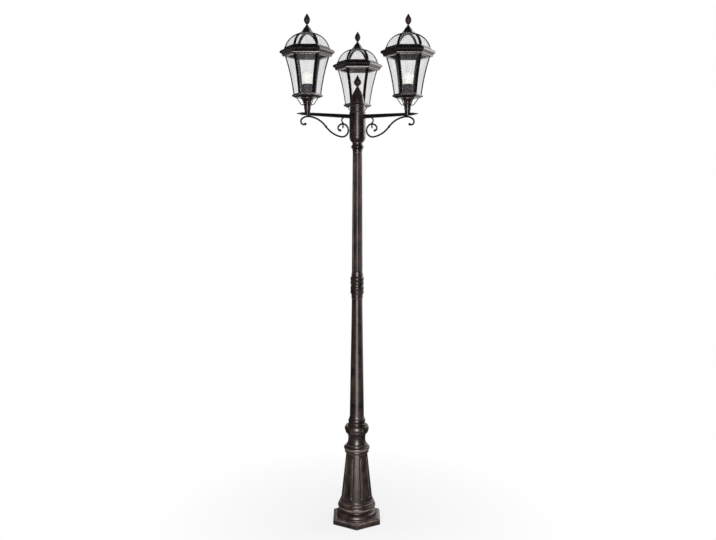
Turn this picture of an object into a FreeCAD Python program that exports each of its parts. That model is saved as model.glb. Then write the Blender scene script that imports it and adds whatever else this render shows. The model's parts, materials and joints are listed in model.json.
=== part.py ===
import FreeCAD, Part
import math
import os

# A garden lamp post with three six-sided lanterns on scrolled arms. Millimetres, +Z up.
# The origin is the centre of the plinth's underside. The front is -Y.
# Radii of six-sided pieces are measured to their corners unless a name says "across flats".
# Outlines are lists of (radius, height, bulge): bulge is how far the stretch that arrives at the
# point swells to the right of its own direction, so a positive one swells away from the axis
# when the outline runs upwards, and 0 is a straight stretch.
# In the names, a rise is the height from one moulding's end to the next one's start.

# ---- Fits and drawing aids
SLIDE_FIT = 0.2            # radial play where a tube or spigot goes into another piece
SCREW_FIT = 0.15           # radial play round a screw or a threaded tube
LIFT_FIT = 0.5             # radial play round a piece that lifts off
TIP_R = 0.4                # blunt end of a point
COVE = 0.8                 # hollow of the small curved steps between rings
SMALL_SWELL = 0.5          # swell of the smallest rounded edges
BEYOND = 1.0               # how far a cutter runs past the face it opens
OVERLAP = 2.0              # how far two parts of one casting run into each other

# ---- Plinth: a six-sided plate with a turned neck
SIDES = 6
PLINTH_ACROSS_FLATS = 200.0
PLINTH_EDGE_HEIGHT = 18.0
PLINTH_CHAMFER = 3.0
PLINTH_SLOPE_WIDTH = 7.0
PLINTH_SLOPE_RISE = 3.0
PLINTH_NECK_HEIGHT = 33.0
PLINTH_FOOT_R = 88.0
PLINTH_COVE_RISE = 2.6
PLINTH_COVE = 0.6
PLINTH_BULGE_LOW_R = 86.0
PLINTH_BULGE_HIGH_R = 71.5
PLINTH_BULGE_HEIGHT = 21.2
PLINTH_BULGE_SWELL = 5.5
PLINTH_GROOVE_R = 69.0
PLINTH_GROOVE_RISE = 3.3
PLINTH_BORE_R = 45.0
CABLE_HOLE_R = 25.0
ANCHOR_COUNT = 3
ANCHOR_CIRCLE_R = 102.5
ANCHOR_HOLE_R = 4.5
ANCHOR_SEAT_R = 8.0
ANCHOR_SEAT_DEPTH = 4.0

# ---- Fluted column on the plinth
COLUMN_FOOT_HEIGHT = 40.0
COLUMN_GROOVE_RISE = 1.4
COLUMN_TORUS_LOW_R = 70.5
COLUMN_TORUS_HIGH_R = 76.5
COLUMN_TORUS_HEIGHT = 19.0
COLUMN_TORUS_SWELL = 7.2
COLUMN_BAND_LOW_R = 75.0
COLUMN_BAND_HIGH_R = 73.0
COLUMN_BAND_HEIGHT = 8.0
COLUMN_BAND_SWELL = 1.4
COLUMN_STEP_R = 70.0
COLUMN_STEP_HEIGHT = 7.0
COLUMN_STEP_SWELL = 1.2
COLUMN_CONE_HEIGHT = 202.0
COLUMN_CONE_FOOT_R = 67.0
COLUMN_CONE_HEAD_R = 45.2
COLUMN_HEAD_HEIGHT = 37.0
COLUMN_BEAD_RISE = 3.0
COLUMN_BEAD_R = 49.4
COLUMN_BEAD_HEIGHT = 11.5
COLUMN_BEAD_SWELL = 1.9
COLUMN_RING_RISE = 1.6
COLUMN_RING_R = 52.7
COLUMN_RING_HEIGHT = 12.6
COLUMN_RING_SWELL = 2.6
COLUMN_NECK_RISE = 6.4
COLUMN_NECK_R = 46.8
COLUMN_NECK_COVE = 1.6
COLUMN_TOP_R = 46.0
COLUMN_SPIGOT_DEPTH = 12.0
COLUMN_WALL = 6.0
COLUMN_THROAT_R = 33.0
COLUMN_FLUTE_COUNT = 10
COLUMN_FLUTE_R = 8.0
COLUMN_FLUTE_DEPTH = 4.0
COLUMN_FLUTE_MARGIN = 18.0

# ---- Cup-shaped socket that clamps the pole's foot
SOCKET_SPIGOT_DEPTH = 12.0
SOCKET_FOOT_R = 43.8
SOCKET_WAIST_R = 37.5
SOCKET_WAIST_RISE = 16.8
SOCKET_WAIST_TOP_R = 37.9
SOCKET_WAIST_HEIGHT = 40.0
SOCKET_WAIST_COVE = 1.2
SOCKET_CUP_HEIGHT = 44.0
SOCKET_BELLY_R = 47.1
SOCKET_BELLY_RISE = 13.2
SOCKET_BELLY_COVE = 1.6
SOCKET_EDGE_R = 47.9
SOCKET_EDGE_RISE = 5.3
SOCKET_BAND_R = 49.8
SOCKET_BAND_RISE = 3.5
SOCKET_BAND_HEIGHT = 15.0
SOCKET_BAND_SWELL = 1.3
SOCKET_TOP_R = 46.9
SOCKET_LEDGE = 6.0
SOCKET_LEDGE_HOLE_R = 20.0
SOCKET_SCREW_COUNT = 3
SOCKET_SCREW_ANGLE = -62.0
SOCKET_SCREW_HEIGHT = 70.5
SOCKET_SCREW_R = 3.0
SOCKET_SCREW_HEAD_R = 5.0
SOCKET_SCREW_HEAD_LENGTH = 5.0
SOCKET_SCREW_KEY_R = 1.5
SOCKET_SCREW_SEAT_DEPTH = 1.7
SOCKET_SCREW_SEAT_PLAY = 1.0

# ---- Pole, lower length
POLE_FOOT_R = 27.2
POLE_WALL = 3.2
LOWER_POLE_RINGS_HEIGHT = 44.0
LOWER_POLE_SEAT_R = 36.7
LOWER_POLE_BEAD_R = 35.4
LOWER_POLE_BEAD_HEIGHT = 8.8
LOWER_POLE_BEAD_SWELL = 2.2
LOWER_POLE_RING_R = 34.8
LOWER_POLE_RING_RISE = 4.4
LOWER_POLE_RING_HEIGHT = 14.1
LOWER_POLE_RING_SWELL = 1.6
LOWER_POLE_FILLET_R = 33.2
LOWER_POLE_FILLET_RISE = 2.6
LOWER_POLE_SHAFT_R = 30.2
LOWER_POLE_SHAFT_HEIGHT = 493.0
POLE_JOINT_R = 22.6
LOWER_POLE_JOINT_HEIGHT = 55.0

# ---- Ringed coupling over the joint in the pole
COUPLING_HEIGHT = 108.0
COUPLING_BELOW_JOINT = 46.0
COUPLING_LIP = 1.4
COUPLING_LIP_SLOPE = 0.4
COUPLING_SKIRT_HEIGHT = 15.1
COUPLING_FLARE_RISE = 5.4
COUPLING_BODY = 4.0
COUPLING_FIRST_RING = 21.6
COUPLING_RING_HEIGHT = 15.1
COUPLING_RING_EDGE = 1.8
COUPLING_RING_STEP = 0.6
COUPLING_RING_SWELL = 1.4
COUPLING_RING_PITCH = 15.7
COUPLING_PAIR_PITCH = 38.3
COUPLING_COLLAR_HEIGHT = 10.8

# ---- Pole, fluted upper length
UPPER_POLE_HEIGHT = 561.0
UPPER_POLE_JOINT_HEIGHT = 62.0
UPPER_POLE_HEAD_R = 19.6
UPPER_POLE_BORE_R = 13.0
UPPER_POLE_SPIGOT_R = 17.8
UPPER_POLE_SPIGOT_DEPTH = 45.0
UPPER_POLE_SPIGOT_END_PLAY = 2.0
UPPER_POLE_TENON_R = 16.0
UPPER_POLE_TENON_ABOVE_HUB = 36.0
UPPER_POLE_FLUTE_COUNT = 10
UPPER_POLE_FLUTE_R = 7.0
UPPER_POLE_FLUTE_DEPTH = 1.7
UPPER_POLE_FLUTE_MARGIN = 12.0

# ---- Hub that carries the arms
COLLAR_HEIGHT = 41.0
COLLAR_LEDGE = 0.4
COLLAR_FLARE_R = 21.6
COLLAR_FLARE_HEIGHT = 12.3
COLLAR_RING_R = 23.7
COLLAR_RING_RISE = 4.9
COLLAR_RING_HEIGHT = 11.5
COLLAR_RING_SWELL = 2.4
COLLAR_NECK_R = 21.2
COLLAR_NECK_RISE = 4.1
HUB_HEIGHT = 146.0
HUB_FOOT_R = 22.7
HUB_R = 33.3
HUB_BULB_HEIGHT = 26.0
HUB_BULB_SWELL = 3.6
HUB_STEP_HEIGHT = 121.0
HUB_STEP_RISE = 4.0
HUB_UPPER_R = 30.6
HUB_FLOOR = 12.0
HUB_FLOOR_R = 23.0
HUB_BORE_R = 26.0
HUB_CAP_HEIGHT = 77.0
HUB_CAP_RING_R = 31.2
HUB_CAP_RING_HEIGHT = 8.6
HUB_CAP_RING_SWELL = 1.4
HUB_CAP_STEP_R = 29.4
HUB_CAP_STEP_RISE = 2.0
HUB_CAP_WALL_R = 28.0
HUB_CAP_WALL_HEIGHT = 12.9
HUB_CAP_SHOULDER_R = 15.4
HUB_CAP_SHOULDER_RISE = 35.5
HUB_CAP_SHOULDER_SWELL = 1.2
HUB_CAP_HEAD_R = 9.6
HUB_CAP_HEAD_RISE = 10.6
HUB_CAP_NECK_R = 5.3
HUB_CAP_SPIGOT_DEPTH = 8.0
HUB_CAP_HOLLOW_R = 20.0
HUB_CAP_HOLLOW_HEIGHT = 28.0
HUB_FINIAL_HEIGHT = 50.0
HUB_FINIAL_FOOT_R = 4.7
HUB_FINIAL_FOOT_HEIGHT = 4.4
HUB_FINIAL_BUD_R = 15.2
HUB_FINIAL_BUD_RISE = 13.8
HUB_FINIAL_BUD_SWELL = 1.8
HUB_FINIAL_SHOULDER_R = 9.4
HUB_FINIAL_SHOULDER_RISE = 13.2
HUB_FINIAL_SHOULDER_SWELL = 1.4
HUB_FINIAL_STUD_R = 3.0
HUB_FINIAL_STUD_LENGTH = 29.5
HUB_FINIAL_STUD_PLAY = 0.5

# ---- Terminal block and lamp leads inside the hub and arms
TERMINAL_R = 14.5
TERMINAL_HEIGHT = 14.0
TERMINAL_HOLE_R = 5.0
LEAD_R = 2.0
LEAD_START_R = 9.0
LEAD_BEND_R = 8.0
LEAD_TURN_UP_R = 6.0

# ---- Arms
ARM_ANGLES = {"rear": 90.0, "left": 210.0, "right": 330.0}
ARM_REACH = 228.3
ARM_ABOVE_HUB_FOOT = 104.0
ARM_ROOT_DEPTH = 16.5
ARM_END_DEPTH = 11.0
ARM_WIDTH = 11.0
ARM_END_WIDTH = 9.0
ARM_CHAMFER = 1.8
ARM_BAR_BEYOND = 21.0
ARM_TIP_LENGTH = 28.0
ARM_TIP_ROOT_R = 3.6
ARM_TIP_BEADS = 3
ARM_TIP_BEAD_LENGTH = 8.4
ARM_TIP_BEAD_SWELL = 1.9
ARM_TIP_GROOVE = 0.8
ARM_TIP_TAPER = 0.74       # each bead's size as a share of the one before it
ARM_BOSS_R = 11.4
ARM_BOSS_HEIGHT = 13.0
ARM_BORE_R = 3.2
ARM_SPIGOT_R = 5.0
ARM_SPIGOT_ROOT = 4.0      # how far the spigot runs into the bar

# ---- Scrolls under the arms, as (radius, turn in degrees) from the crest under the arm
SCROLL_HUB_GAP = 6.3
SCROLL_ROD_R = 3.5
SCROLL_BALL_R = 5.5
SCROLL_KNOT_R = 5.3
SCROLL_KNOT_LENGTH = 9.0
SCROLL_SWEEP = (104.0, 49.5)
SCROLL_BELLY = (110.0, -42.0)
SCROLL_HEEL = (31.0, -56.0)
SCROLL_CURL = (25.0, -190.0)
SCROLL_EYE = (9.5, -123.0)
SCROLL_OUTER_FALL = (40.0, -46.0)
SCROLL_OUTER_CURL = (12.0, -171.0)

# ---- Link between an arm and the top of its scroll
LINK_ROD_R = 2.9
LINK_SWAY = 5.5
LINK_PAD_R = 3.8
LINK_PAD_HEIGHT = 2.4
LINK_CLEARING_R = 20.0
LINK_CLASP_LENGTH = 5.0
LINK_CLASP_WALL = 1.9
LINK_CLASP_FIT = 0.3
LINK_LEAF_LENGTH = 14.0
LINK_LEAF_R = 3.4
LINK_LEAF_ROOT_R = 1.7
LINK_LEAF_DROP = 7.7       # from the clasp down to the leaf's widest place

# ---- Lantern stem, its braces and the threaded tube that clamps them
STEM_HEIGHT = 48.0
STEM_FOOT_R = 11.4
STEM_TAPER_HEIGHT = 13.0
STEM_SEAT_R = 13.4
STEM_SHOULDER_HEIGHT = 26.0
STEM_SHOULDER_R = 15.4
STEM_WAIST_RISE = 8.0
STEM_WAIST_R = 14.8
STEM_FLARE_R = 27.0
STEM_FLARE_COVE = 2.0
STEM_RIM = 2.0
NIPPLE_R = 5.0
NIPPLE_BORE_R = 3.5
NIPPLE_ENGAGEMENT = 7.5
NIPPLE_INTO_HOLDER = 8.5
NIPPLE_END_PLAY = 3.0
BRACE_ROD_R = 1.75
BRACE_RING_HEIGHT = 7.0
BRACE_RING_WALL = 2.2
BRACE_BEND_R = 9.0
BRACE_BEND = 55.0
BRACE_TOP_R = 41.5

# ---- Lantern pan
PAN_HEIGHT = 12.0
PAN_FLOOR = 2.5
PAN_UNDER_R = 45.0
PAN_BELLY_R = 56.5
PAN_BELLY_SWELL = 1.2
PAN_RIM_R = 61.5
PAN_RIM_RISE = 1.5
PAN_RIM_THICKNESS = 3.0
PAN_WELL_R = 40.0
PAN_KNOB_R = 3.2
PAN_KNOB_INSET = 1.0
PAN_KNOB_DROP = 0.5

# ---- Lantern cage and its panes
CAGE_BAR_WIDTH = 11.0
CAGE_BAR_THICKNESS = 5.0
CAGE_FOOT_R = 54.8
CAGE_HEAD_R = 86.6
CAGE_BOW = -3.6
CAGE_BAR_HEIGHT = 148.0
CAGE_SILL_HEIGHT = 4.0
CAGE_SILL_OUTER_R = 57.0
CAGE_SILL_INNER_R = 46.0
CAGE_RING_HEIGHT = 8.0
CAGE_RING_OUTER_R = 87.5
CAGE_RING_INNER_R = 77.5
PANE_THICKNESS = 3.0
PANE_PLAY = 0.2
PANE_SIDE_GAP = 1.2

# ---- Lantern roof: moulded belt, ribs, panes, cap
BELT_SKIRT = 7.5
BELT_HEIGHT = 35.0
BELT_FOOT_R = 96.0
BELT_FILLET_R = 97.5
BELT_FILLET_HEIGHT = 2.5
BELT_COVE_R = 105.0
BELT_COVE_RISE = 10.1
BELT_COVE = 1.6
BELT_LIP_R = 108.5
BELT_LIP_RISE = 2.1
BELT_LIP_HEIGHT = 3.5
BELT_ROUND_R = 101.0
BELT_ROUND_RISE = 7.0
BELT_ROUND_SWELL = 1.4
BELT_STEP_R = 99.0
BELT_STEP_RISE = 1.0
BELT_TOP_R = 90.0
BELT_TOP_RISE = 6.3
BELT_TOP_INNER_R = 79.0
BELT_HOLLOW_R = 98.9
BELT_HOLLOW_HEIGHT = 4.9
BELT_LEDGE_R = 77.0
BELT_WALL = 4.0
RIB_WIDTH = 10.5
RIB_THICKNESS = 4.4
RIB_FOOT_R = 87.5
RIB_HEAD_R = 22.5
RIB_RISE = 52.0
RIB_BOW = 12.9
CROWN_HEIGHT = 3.5
CROWN_OUTER_R = 25.5
CROWN_INNER_R = 16.0
CAP_HEIGHT = 29.5
CAP_FOOT_R = 25.0
CAP_EDGE_HEIGHT = 2.3
CAP_WAIST_R = 13.2
CAP_WAIST_RISE = 16.2
CAP_SWEEP = 1.6
CAP_NECK_R = 5.0
CAP_NECK_RISE = 9.3
FINIAL_HEIGHT = 44.5
FINIAL_FOOT_R = 4.0
FINIAL_NECK_R = 3.5
FINIAL_NECK_HEIGHT = 2.8
FINIAL_BUD_R = 12.0
FINIAL_BUD_RISE = 15.8
FINIAL_BUD_SWELL = 1.9
FINIAL_SHOULDER_R = 6.8
FINIAL_SHOULDER_RISE = 15.0
FINIAL_SHOULDER_SWELL = 1.3
FINIAL_STUD_R = 2.5
FINIAL_STUD_BELOW_NUT = 2.0
FINIAL_NUT_R = 6.5
FINIAL_NUT_HEIGHT = 4.0

# ---- Lampholder and bulb
HOLDER_R = 20.0
HOLDER_HEIGHT = 52.0
HOLDER_EDGE = 1.5
HOLDER_BASE = 24.5
HOLDER_SOCKET_R = 13.6
HOLDER_GROOVE = 1.2
HOLDER_GROOVE_RISE = 2.0
BULB_CAP_R = 13.2
BULB_CAP_HEIGHT = 27.3
BULB_CAP_EDGE = 2.0
BULB_CAP_TAPER_HEIGHT = 3.0
BULB_CONTACT_R = 4.5
BULB_CONTACT_HEIGHT = 1.5
BULB_CONTACT_GAP = 0.2
BULB_R = 22.5
BULB_NECK_GAP = 0.4
BULB_CENTRE_ABOVE_CAP = 29.5
BULB_SHOULDER = 12.7
BULB_WALL = 1.0

# ---- Heights that follow from the sizes above
PLINTH_SLOPE_Z = PLINTH_EDGE_HEIGHT + PLINTH_CHAMFER + PLINTH_SLOPE_RISE
PLINTH_TOP = PLINTH_SLOPE_Z + PLINTH_NECK_HEIGHT
CONE_FOOT_Z = PLINTH_TOP + COLUMN_FOOT_HEIGHT
CONE_HEAD_Z = CONE_FOOT_Z + COLUMN_CONE_HEIGHT
COLUMN_TOP = CONE_HEAD_Z + COLUMN_HEAD_HEIGHT
POLE_FOOT_Z = COLUMN_TOP + SOCKET_LEDGE
SOCKET_SCREW_Z = COLUMN_TOP + SOCKET_SCREW_HEIGHT
SOCKET_TOP = COLUMN_TOP + SOCKET_WAIST_HEIGHT + SOCKET_CUP_HEIGHT
LOWER_SHAFT_Z = SOCKET_TOP + LOWER_POLE_RINGS_HEIGHT
POLE_JOINT_Z = LOWER_SHAFT_Z + LOWER_POLE_SHAFT_HEIGHT + LOWER_POLE_JOINT_HEIGHT
COLLAR_Z = POLE_JOINT_Z + UPPER_POLE_HEIGHT
HUB_Z = COLLAR_Z + COLLAR_HEIGHT
HUB_TOP = HUB_Z + HUB_HEIGHT
HUB_CAP_TOP = HUB_TOP + HUB_CAP_HEIGHT
TERMINAL_Z = HUB_Z + UPPER_POLE_TENON_ABOVE_HUB
ARM_Z = HUB_Z + ARM_ABOVE_HUB_FOOT
STEM_Z = ARM_Z + ARM_BOSS_HEIGHT
PAN_Z = STEM_Z + STEM_HEIGHT
PAN_FLOOR_Z = PAN_Z + PAN_FLOOR
CAGE_Z = PAN_Z + PAN_HEIGHT
CAGE_RING_Z = CAGE_Z + CAGE_BAR_HEIGHT
CAGE_TOP = CAGE_RING_Z + CAGE_RING_HEIGHT
BELT_Z = CAGE_TOP - BELT_SKIRT
BELT_TOP = BELT_Z + BELT_HEIGHT
CROWN_Z = BELT_TOP + RIB_RISE
CAP_Z = CROWN_Z + CROWN_HEIGHT
CAP_TOP = CAP_Z + CAP_HEIGHT
NIPPLE_ENTRY_TOP = PAN_FLOOR_Z + NIPPLE_INTO_HOLDER + NIPPLE_END_PLAY
HOLDER_SOCKET_Z = PAN_FLOOR_Z + HOLDER_BASE
BULB_CAP_Z = HOLDER_SOCKET_Z + BULB_CONTACT_GAP
BULB_GLASS_Z = BULB_CAP_Z + BULB_CAP_HEIGHT

# ---- Lengths and directions that several pieces share
ARM_BAR_END = ARM_REACH + ARM_BAR_BEYOND
CORNER = math.cos(math.pi / SIDES)      # distance to a flat as a share of the distance to a corner
SIDE_ANGLE = 360.0 / SIDES
FRONT = -90.0
UP = FreeCAD.Vector(0, 0, 1)
OUTWARD = FreeCAD.Vector(1, 0, 0)
CENTRE = FreeCAD.Vector(0, 0, 0)


def vec(x, y, z):
    return FreeCAD.Vector(x, y, z)


def stretch(start, end, bulge, squeeze):
    """The edge from one outline point to the next, drawn in the XZ plane."""
    first = vec(start[0] * squeeze, 0, start[1])
    last = vec(end[0] * squeeze, 0, end[1])
    if not bulge:
        return Part.makeLine(first, last)
    run = end[0] - start[0]
    rise = end[1] - start[1]
    length = math.hypot(run, rise)
    middle_x = (start[0] + end[0]) / 2 + bulge * rise / length
    middle_z = (start[1] + end[1]) / 2 - bulge * run / length
    return Part.Arc(first, vec(middle_x * squeeze, 0, middle_z), last).toShape()


def outline_face(outline, squeeze=1.0):
    """A flat face in the XZ plane with its radii multiplied by squeeze."""
    edges = []
    for start, end in zip(outline, outline[1:] + outline[:1]):
        edges.append(stretch(start, end, end[2], squeeze))
    return Part.Face(Part.Wire(edges))


def stacked(low, steps):
    """Outline points going up from a height, from steps of (radius, rise, bulge)."""
    outline = []
    for radius, rise, bulge in steps:
        low += rise
        outline.append((radius, low, bulge))
    return outline


def turned(outline):
    """A solid of revolution about the Z axis."""
    return outline_face(outline).revolve(CENTRE, UP, 360)


def cylinder(radius, low, high):
    return Part.makeCylinder(radius, high - low, vec(0, 0, low))


def outward_rod(radius, start, end, z):
    """A rod along +X from one distance from the axis to another."""
    return Part.makeCylinder(radius, end - start, vec(start, 0, z), OUTWARD)


def turned_about(axis, angle, shape):
    """A copy of the shape turned about the vertical axis through a point."""
    copy = shape.copy()
    copy.rotate(axis, UP, angle)
    return copy


def around(shape, count, first_angle=0.0):
    """Copies of the shape at even angles about the Z axis."""
    return [turned_about(CENTRE, first_angle + 360.0 * n / count, shape) for n in range(count)]


def along_arms(shape):
    """Copies of the shape, drawn along +X, in the directions of the arms."""
    return [turned_about(CENTRE, angle, shape) for angle in ARM_ANGLES.values()]


def fused(shapes):
    return shapes[0].multiFuse(shapes[1:]).removeSplitter()


def wedge(low, high, reach, gap):
    """One side's share of a six-sided piece, held back from the corners by a gap."""
    half = math.radians(SIDE_ANGLE / 2)
    apex = gap / math.sin(half)
    spread = (reach - apex) * math.tan(half)
    corners = [vec(apex, 0, low), vec(reach, -spread, low), vec(reach, spread, low), vec(apex, 0, low)]
    return Part.Face(Part.makePolygon(corners)).extrude(vec(0, 0, high - low))


def side_pieces(outline, gap=0.0):
    """The outline drawn along each of the six sides, mitred at the corners or held back from them."""
    face = outline_face(outline, CORNER)
    box = face.BoundBox
    reach = box.XMax + BEYOND
    face.translate(vec(0, -reach, 0))
    slab = face.extrude(vec(0, 2 * reach, 0))
    side = slab.common(wedge(box.ZMin - BEYOND, box.ZMax + BEYOND, reach, gap))
    return around(side, SIDES)


def mitred(outline):
    """A six-sided solid or ring; the outline's radii are to the corners."""
    return fused(side_pieces(outline))


def corner_plates(outline, width):
    """A flat bar of the outline's side view at each of the six corners."""
    face = outline_face(outline)
    face.translate(vec(0, -width / 2, 0))
    return around(face.extrude(vec(0, width, 0)), SIDES, SIDE_ANGLE / 2)


def ring_outline(inner, outer, low, high):
    return [(inner, low, 0), (outer, low, 0), (outer, high, 0), (inner, high, 0)]


def capsule(start, end, radius):
    """A round-ended cutter whose axis runs from start to end."""
    run = end.sub(start)
    length = run.Length
    quarter_swell = radius * (1 - math.sqrt(0.5))
    outline = [
        (0, -radius, 0),
        (radius, 0, quarter_swell),
        (radius, length, 0),
        (0, length + radius, quarter_swell),
    ]
    shape = turned(outline)
    shape.Placement = FreeCAD.Placement(start, FreeCAD.Rotation(UP, run))
    return shape


def cut_flutes(shape, count, first_angle, cutter_r, depth, low, high):
    """Round-ended grooves down a shaft; low and high are the (radius, height) of their ends."""
    offset = cutter_r - depth
    start = vec(low[0] + offset, 0, low[1])
    end = vec(high[0] + offset, 0, high[1])
    cutters = around(capsule(start, end, cutter_r), count, first_angle)
    seam_on_land = turned_about(CENTRE, first_angle + 180.0 / count, shape)
    return seam_on_land.cut(Part.makeCompound(cutters))


def rod_stretches(start, heading, steps):
    """The edges of a bent rod's centre line in the XZ plane, and the point and heading it ends at.

    Each step is (radius, turn in degrees), or (length, 0) for a straight run.
    """
    x, z = start
    edges = []
    for size, turn in steps:
        angle = math.radians(heading)
        if turn == 0:
            end_x = x + size * math.cos(angle)
            end_z = z + size * math.sin(angle)
            edges.append(Part.makeLine(vec(x, 0, z), vec(end_x, 0, end_z)))
        else:
            side = math.copysign(1.0, turn)
            mid_x = x + chord_run(angle, side, size, turn / 2)
            mid_z = z + chord_rise(angle, side, size, turn / 2)
            end_x = x + chord_run(angle, side, size, turn)
            end_z = z + chord_rise(angle, side, size, turn)
            edges.append(Part.Arc(vec(x, 0, z), vec(mid_x, 0, mid_z), vec(end_x, 0, end_z)).toShape())
        x, z = end_x, end_z
        heading += turn
    return edges, (x, z), heading


def chord_run(angle, side, radius, turn):
    return side * radius * (math.sin(angle + math.radians(turn)) - math.sin(angle))


def chord_rise(angle, side, radius, turn):
    return side * radius * (math.cos(angle) - math.cos(angle + math.radians(turn)))


def bent_rod(start, heading, steps, radius):
    """A round rod along the steps, with the point and heading it ends at."""
    edges, end, last_heading = rod_stretches(start, heading, steps)
    angle = math.radians(heading)
    direction = vec(math.cos(angle), 0, math.sin(angle))
    circle = Part.Wire(Part.makeCircle(radius, vec(start[0], 0, start[1]), direction))
    rod = Part.Wire(edges).makePipeShell([circle], True, False)
    return rod, end, last_heading


def ball_at(point, radius):
    """A ball with its centre at (x, z) and a point-sized flat at its top and bottom."""
    half = math.sqrt(radius * radius - TIP_R * TIP_R)
    ball = turned([(0, -half, 0), (TIP_R, -half, 0), (TIP_R, half, radius - TIP_R), (0, half, 0)])
    ball.translate(vec(point[0], 0, point[1]))
    return ball


# ---------------------------------------------------------------- post

def base_plinth():
    flat_r = PLINTH_ACROSS_FLATS / 2
    chamfer_z = PLINTH_EDGE_HEIGHT + PLINTH_CHAMFER
    plate = mitred([
        (0, 0, 0),
        (flat_r / CORNER, 0, 0),
        (flat_r / CORNER, PLINTH_EDGE_HEIGHT, 0),
        ((flat_r - PLINTH_CHAMFER) / CORNER, chamfer_z, 0),
        ((flat_r - PLINTH_CHAMFER - PLINTH_SLOPE_WIDTH) / CORNER, PLINTH_SLOPE_Z, 0),
        (0, PLINTH_SLOPE_Z, 0),
    ])
    neck = [(0, chamfer_z, 0), (PLINTH_FOOT_R, chamfer_z, 0)]
    neck += stacked(PLINTH_SLOPE_Z, [
        (PLINTH_FOOT_R, 0, 0),
        (PLINTH_BULGE_LOW_R, PLINTH_COVE_RISE, -PLINTH_COVE),
        (PLINTH_BULGE_HIGH_R, PLINTH_BULGE_HEIGHT, PLINTH_BULGE_SWELL),
        (PLINTH_GROOVE_R, PLINTH_GROOVE_RISE, -PLINTH_COVE),
    ])
    neck += [(PLINTH_GROOVE_R, PLINTH_TOP, 0), (0, PLINTH_TOP, 0)]
    shape = fused([plate, turned(neck)])
    shape = shape.cut(cylinder(CABLE_HOLE_R, -BEYOND, PLINTH_TOP))
    spigot_hole_z = PLINTH_TOP - COLUMN_SPIGOT_DEPTH - SLIDE_FIT
    shape = shape.cut(cylinder(PLINTH_BORE_R, spigot_hole_z, PLINTH_TOP + BEYOND))
    hole = cylinder(ANCHOR_HOLE_R, -BEYOND, PLINTH_TOP)
    seat = cylinder(ANCHOR_SEAT_R, PLINTH_SLOPE_Z - ANCHOR_SEAT_DEPTH, PLINTH_TOP)
    drill = hole.fuse(seat)
    drill.translate(vec(ANCHOR_CIRCLE_R, 0, 0))
    return shape.cut(Part.makeCompound(around(drill, ANCHOR_COUNT, FRONT)))


def base_column():
    torus_top = PLINTH_TOP + COLUMN_TORUS_HEIGHT
    inner_foot_r = COLUMN_CONE_FOOT_R - COLUMN_WALL
    inner_head_r = COLUMN_CONE_HEAD_R - COLUMN_WALL
    spigot_r = PLINTH_BORE_R - SLIDE_FIT
    spigot_inner_r = spigot_r - COLUMN_WALL
    spigot_foot_z = PLINTH_TOP - COLUMN_SPIGOT_DEPTH
    outline = [
        (spigot_inner_r, spigot_foot_z, 0),
        (spigot_r, spigot_foot_z, 0),
        (spigot_r, PLINTH_TOP, 0),
        (COLUMN_TORUS_LOW_R, PLINTH_TOP, 0),
        (COLUMN_TORUS_HIGH_R, torus_top, COLUMN_TORUS_SWELL),
    ]
    outline += stacked(torus_top, [
        (COLUMN_BAND_LOW_R, COLUMN_GROOVE_RISE, -SMALL_SWELL),
        (COLUMN_BAND_HIGH_R, COLUMN_BAND_HEIGHT, COLUMN_BAND_SWELL),
        (COLUMN_STEP_R, COLUMN_GROOVE_RISE, -SMALL_SWELL),
        (COLUMN_STEP_R, COLUMN_STEP_HEIGHT, COLUMN_STEP_SWELL),
    ])
    outline += [(COLUMN_CONE_FOOT_R, CONE_FOOT_Z, -COVE)]
    outline += stacked(CONE_HEAD_Z, [
        (COLUMN_CONE_HEAD_R, 0, 0),
        (COLUMN_BEAD_R, COLUMN_BEAD_RISE, -COVE),
        (COLUMN_BEAD_R, COLUMN_BEAD_HEIGHT, COLUMN_BEAD_SWELL),
        (COLUMN_RING_R, COLUMN_RING_RISE, 0),
        (COLUMN_RING_R, COLUMN_RING_HEIGHT, COLUMN_RING_SWELL),
        (COLUMN_NECK_R, COLUMN_NECK_RISE, -COLUMN_NECK_COVE),
    ])
    outline += [
        (COLUMN_TOP_R, COLUMN_TOP, 0),
        (COLUMN_THROAT_R, COLUMN_TOP, 0),
        (COLUMN_THROAT_R, CONE_HEAD_Z, 0),
        (inner_head_r, CONE_HEAD_Z - COLUMN_WALL, 0),
        (inner_foot_r, CONE_FOOT_Z, 0),
        (inner_foot_r, torus_top, 0),
        (spigot_inner_r, PLINTH_TOP + COLUMN_WALL, 0),
    ]
    slope = (COLUMN_CONE_HEAD_R - COLUMN_CONE_FOOT_R) / COLUMN_CONE_HEIGHT
    low_z = CONE_FOOT_Z + COLUMN_FLUTE_MARGIN
    high_z = CONE_HEAD_Z - COLUMN_FLUTE_MARGIN
    low = (COLUMN_CONE_FOOT_R + slope * (low_z - CONE_FOOT_Z), low_z)
    high = (COLUMN_CONE_FOOT_R + slope * (high_z - CONE_FOOT_Z), high_z)
    beside_front_land = FRONT + 180.0 / COLUMN_FLUTE_COUNT
    return cut_flutes(turned(outline), COLUMN_FLUTE_COUNT, beside_front_land, COLUMN_FLUTE_R,
                      COLUMN_FLUTE_DEPTH, low, high)


def socket_screw_seat_r():
    """The distance from the axis at which the heads of the socket's screws sit."""
    return SOCKET_BAND_R - SOCKET_SCREW_SEAT_DEPTH


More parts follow.
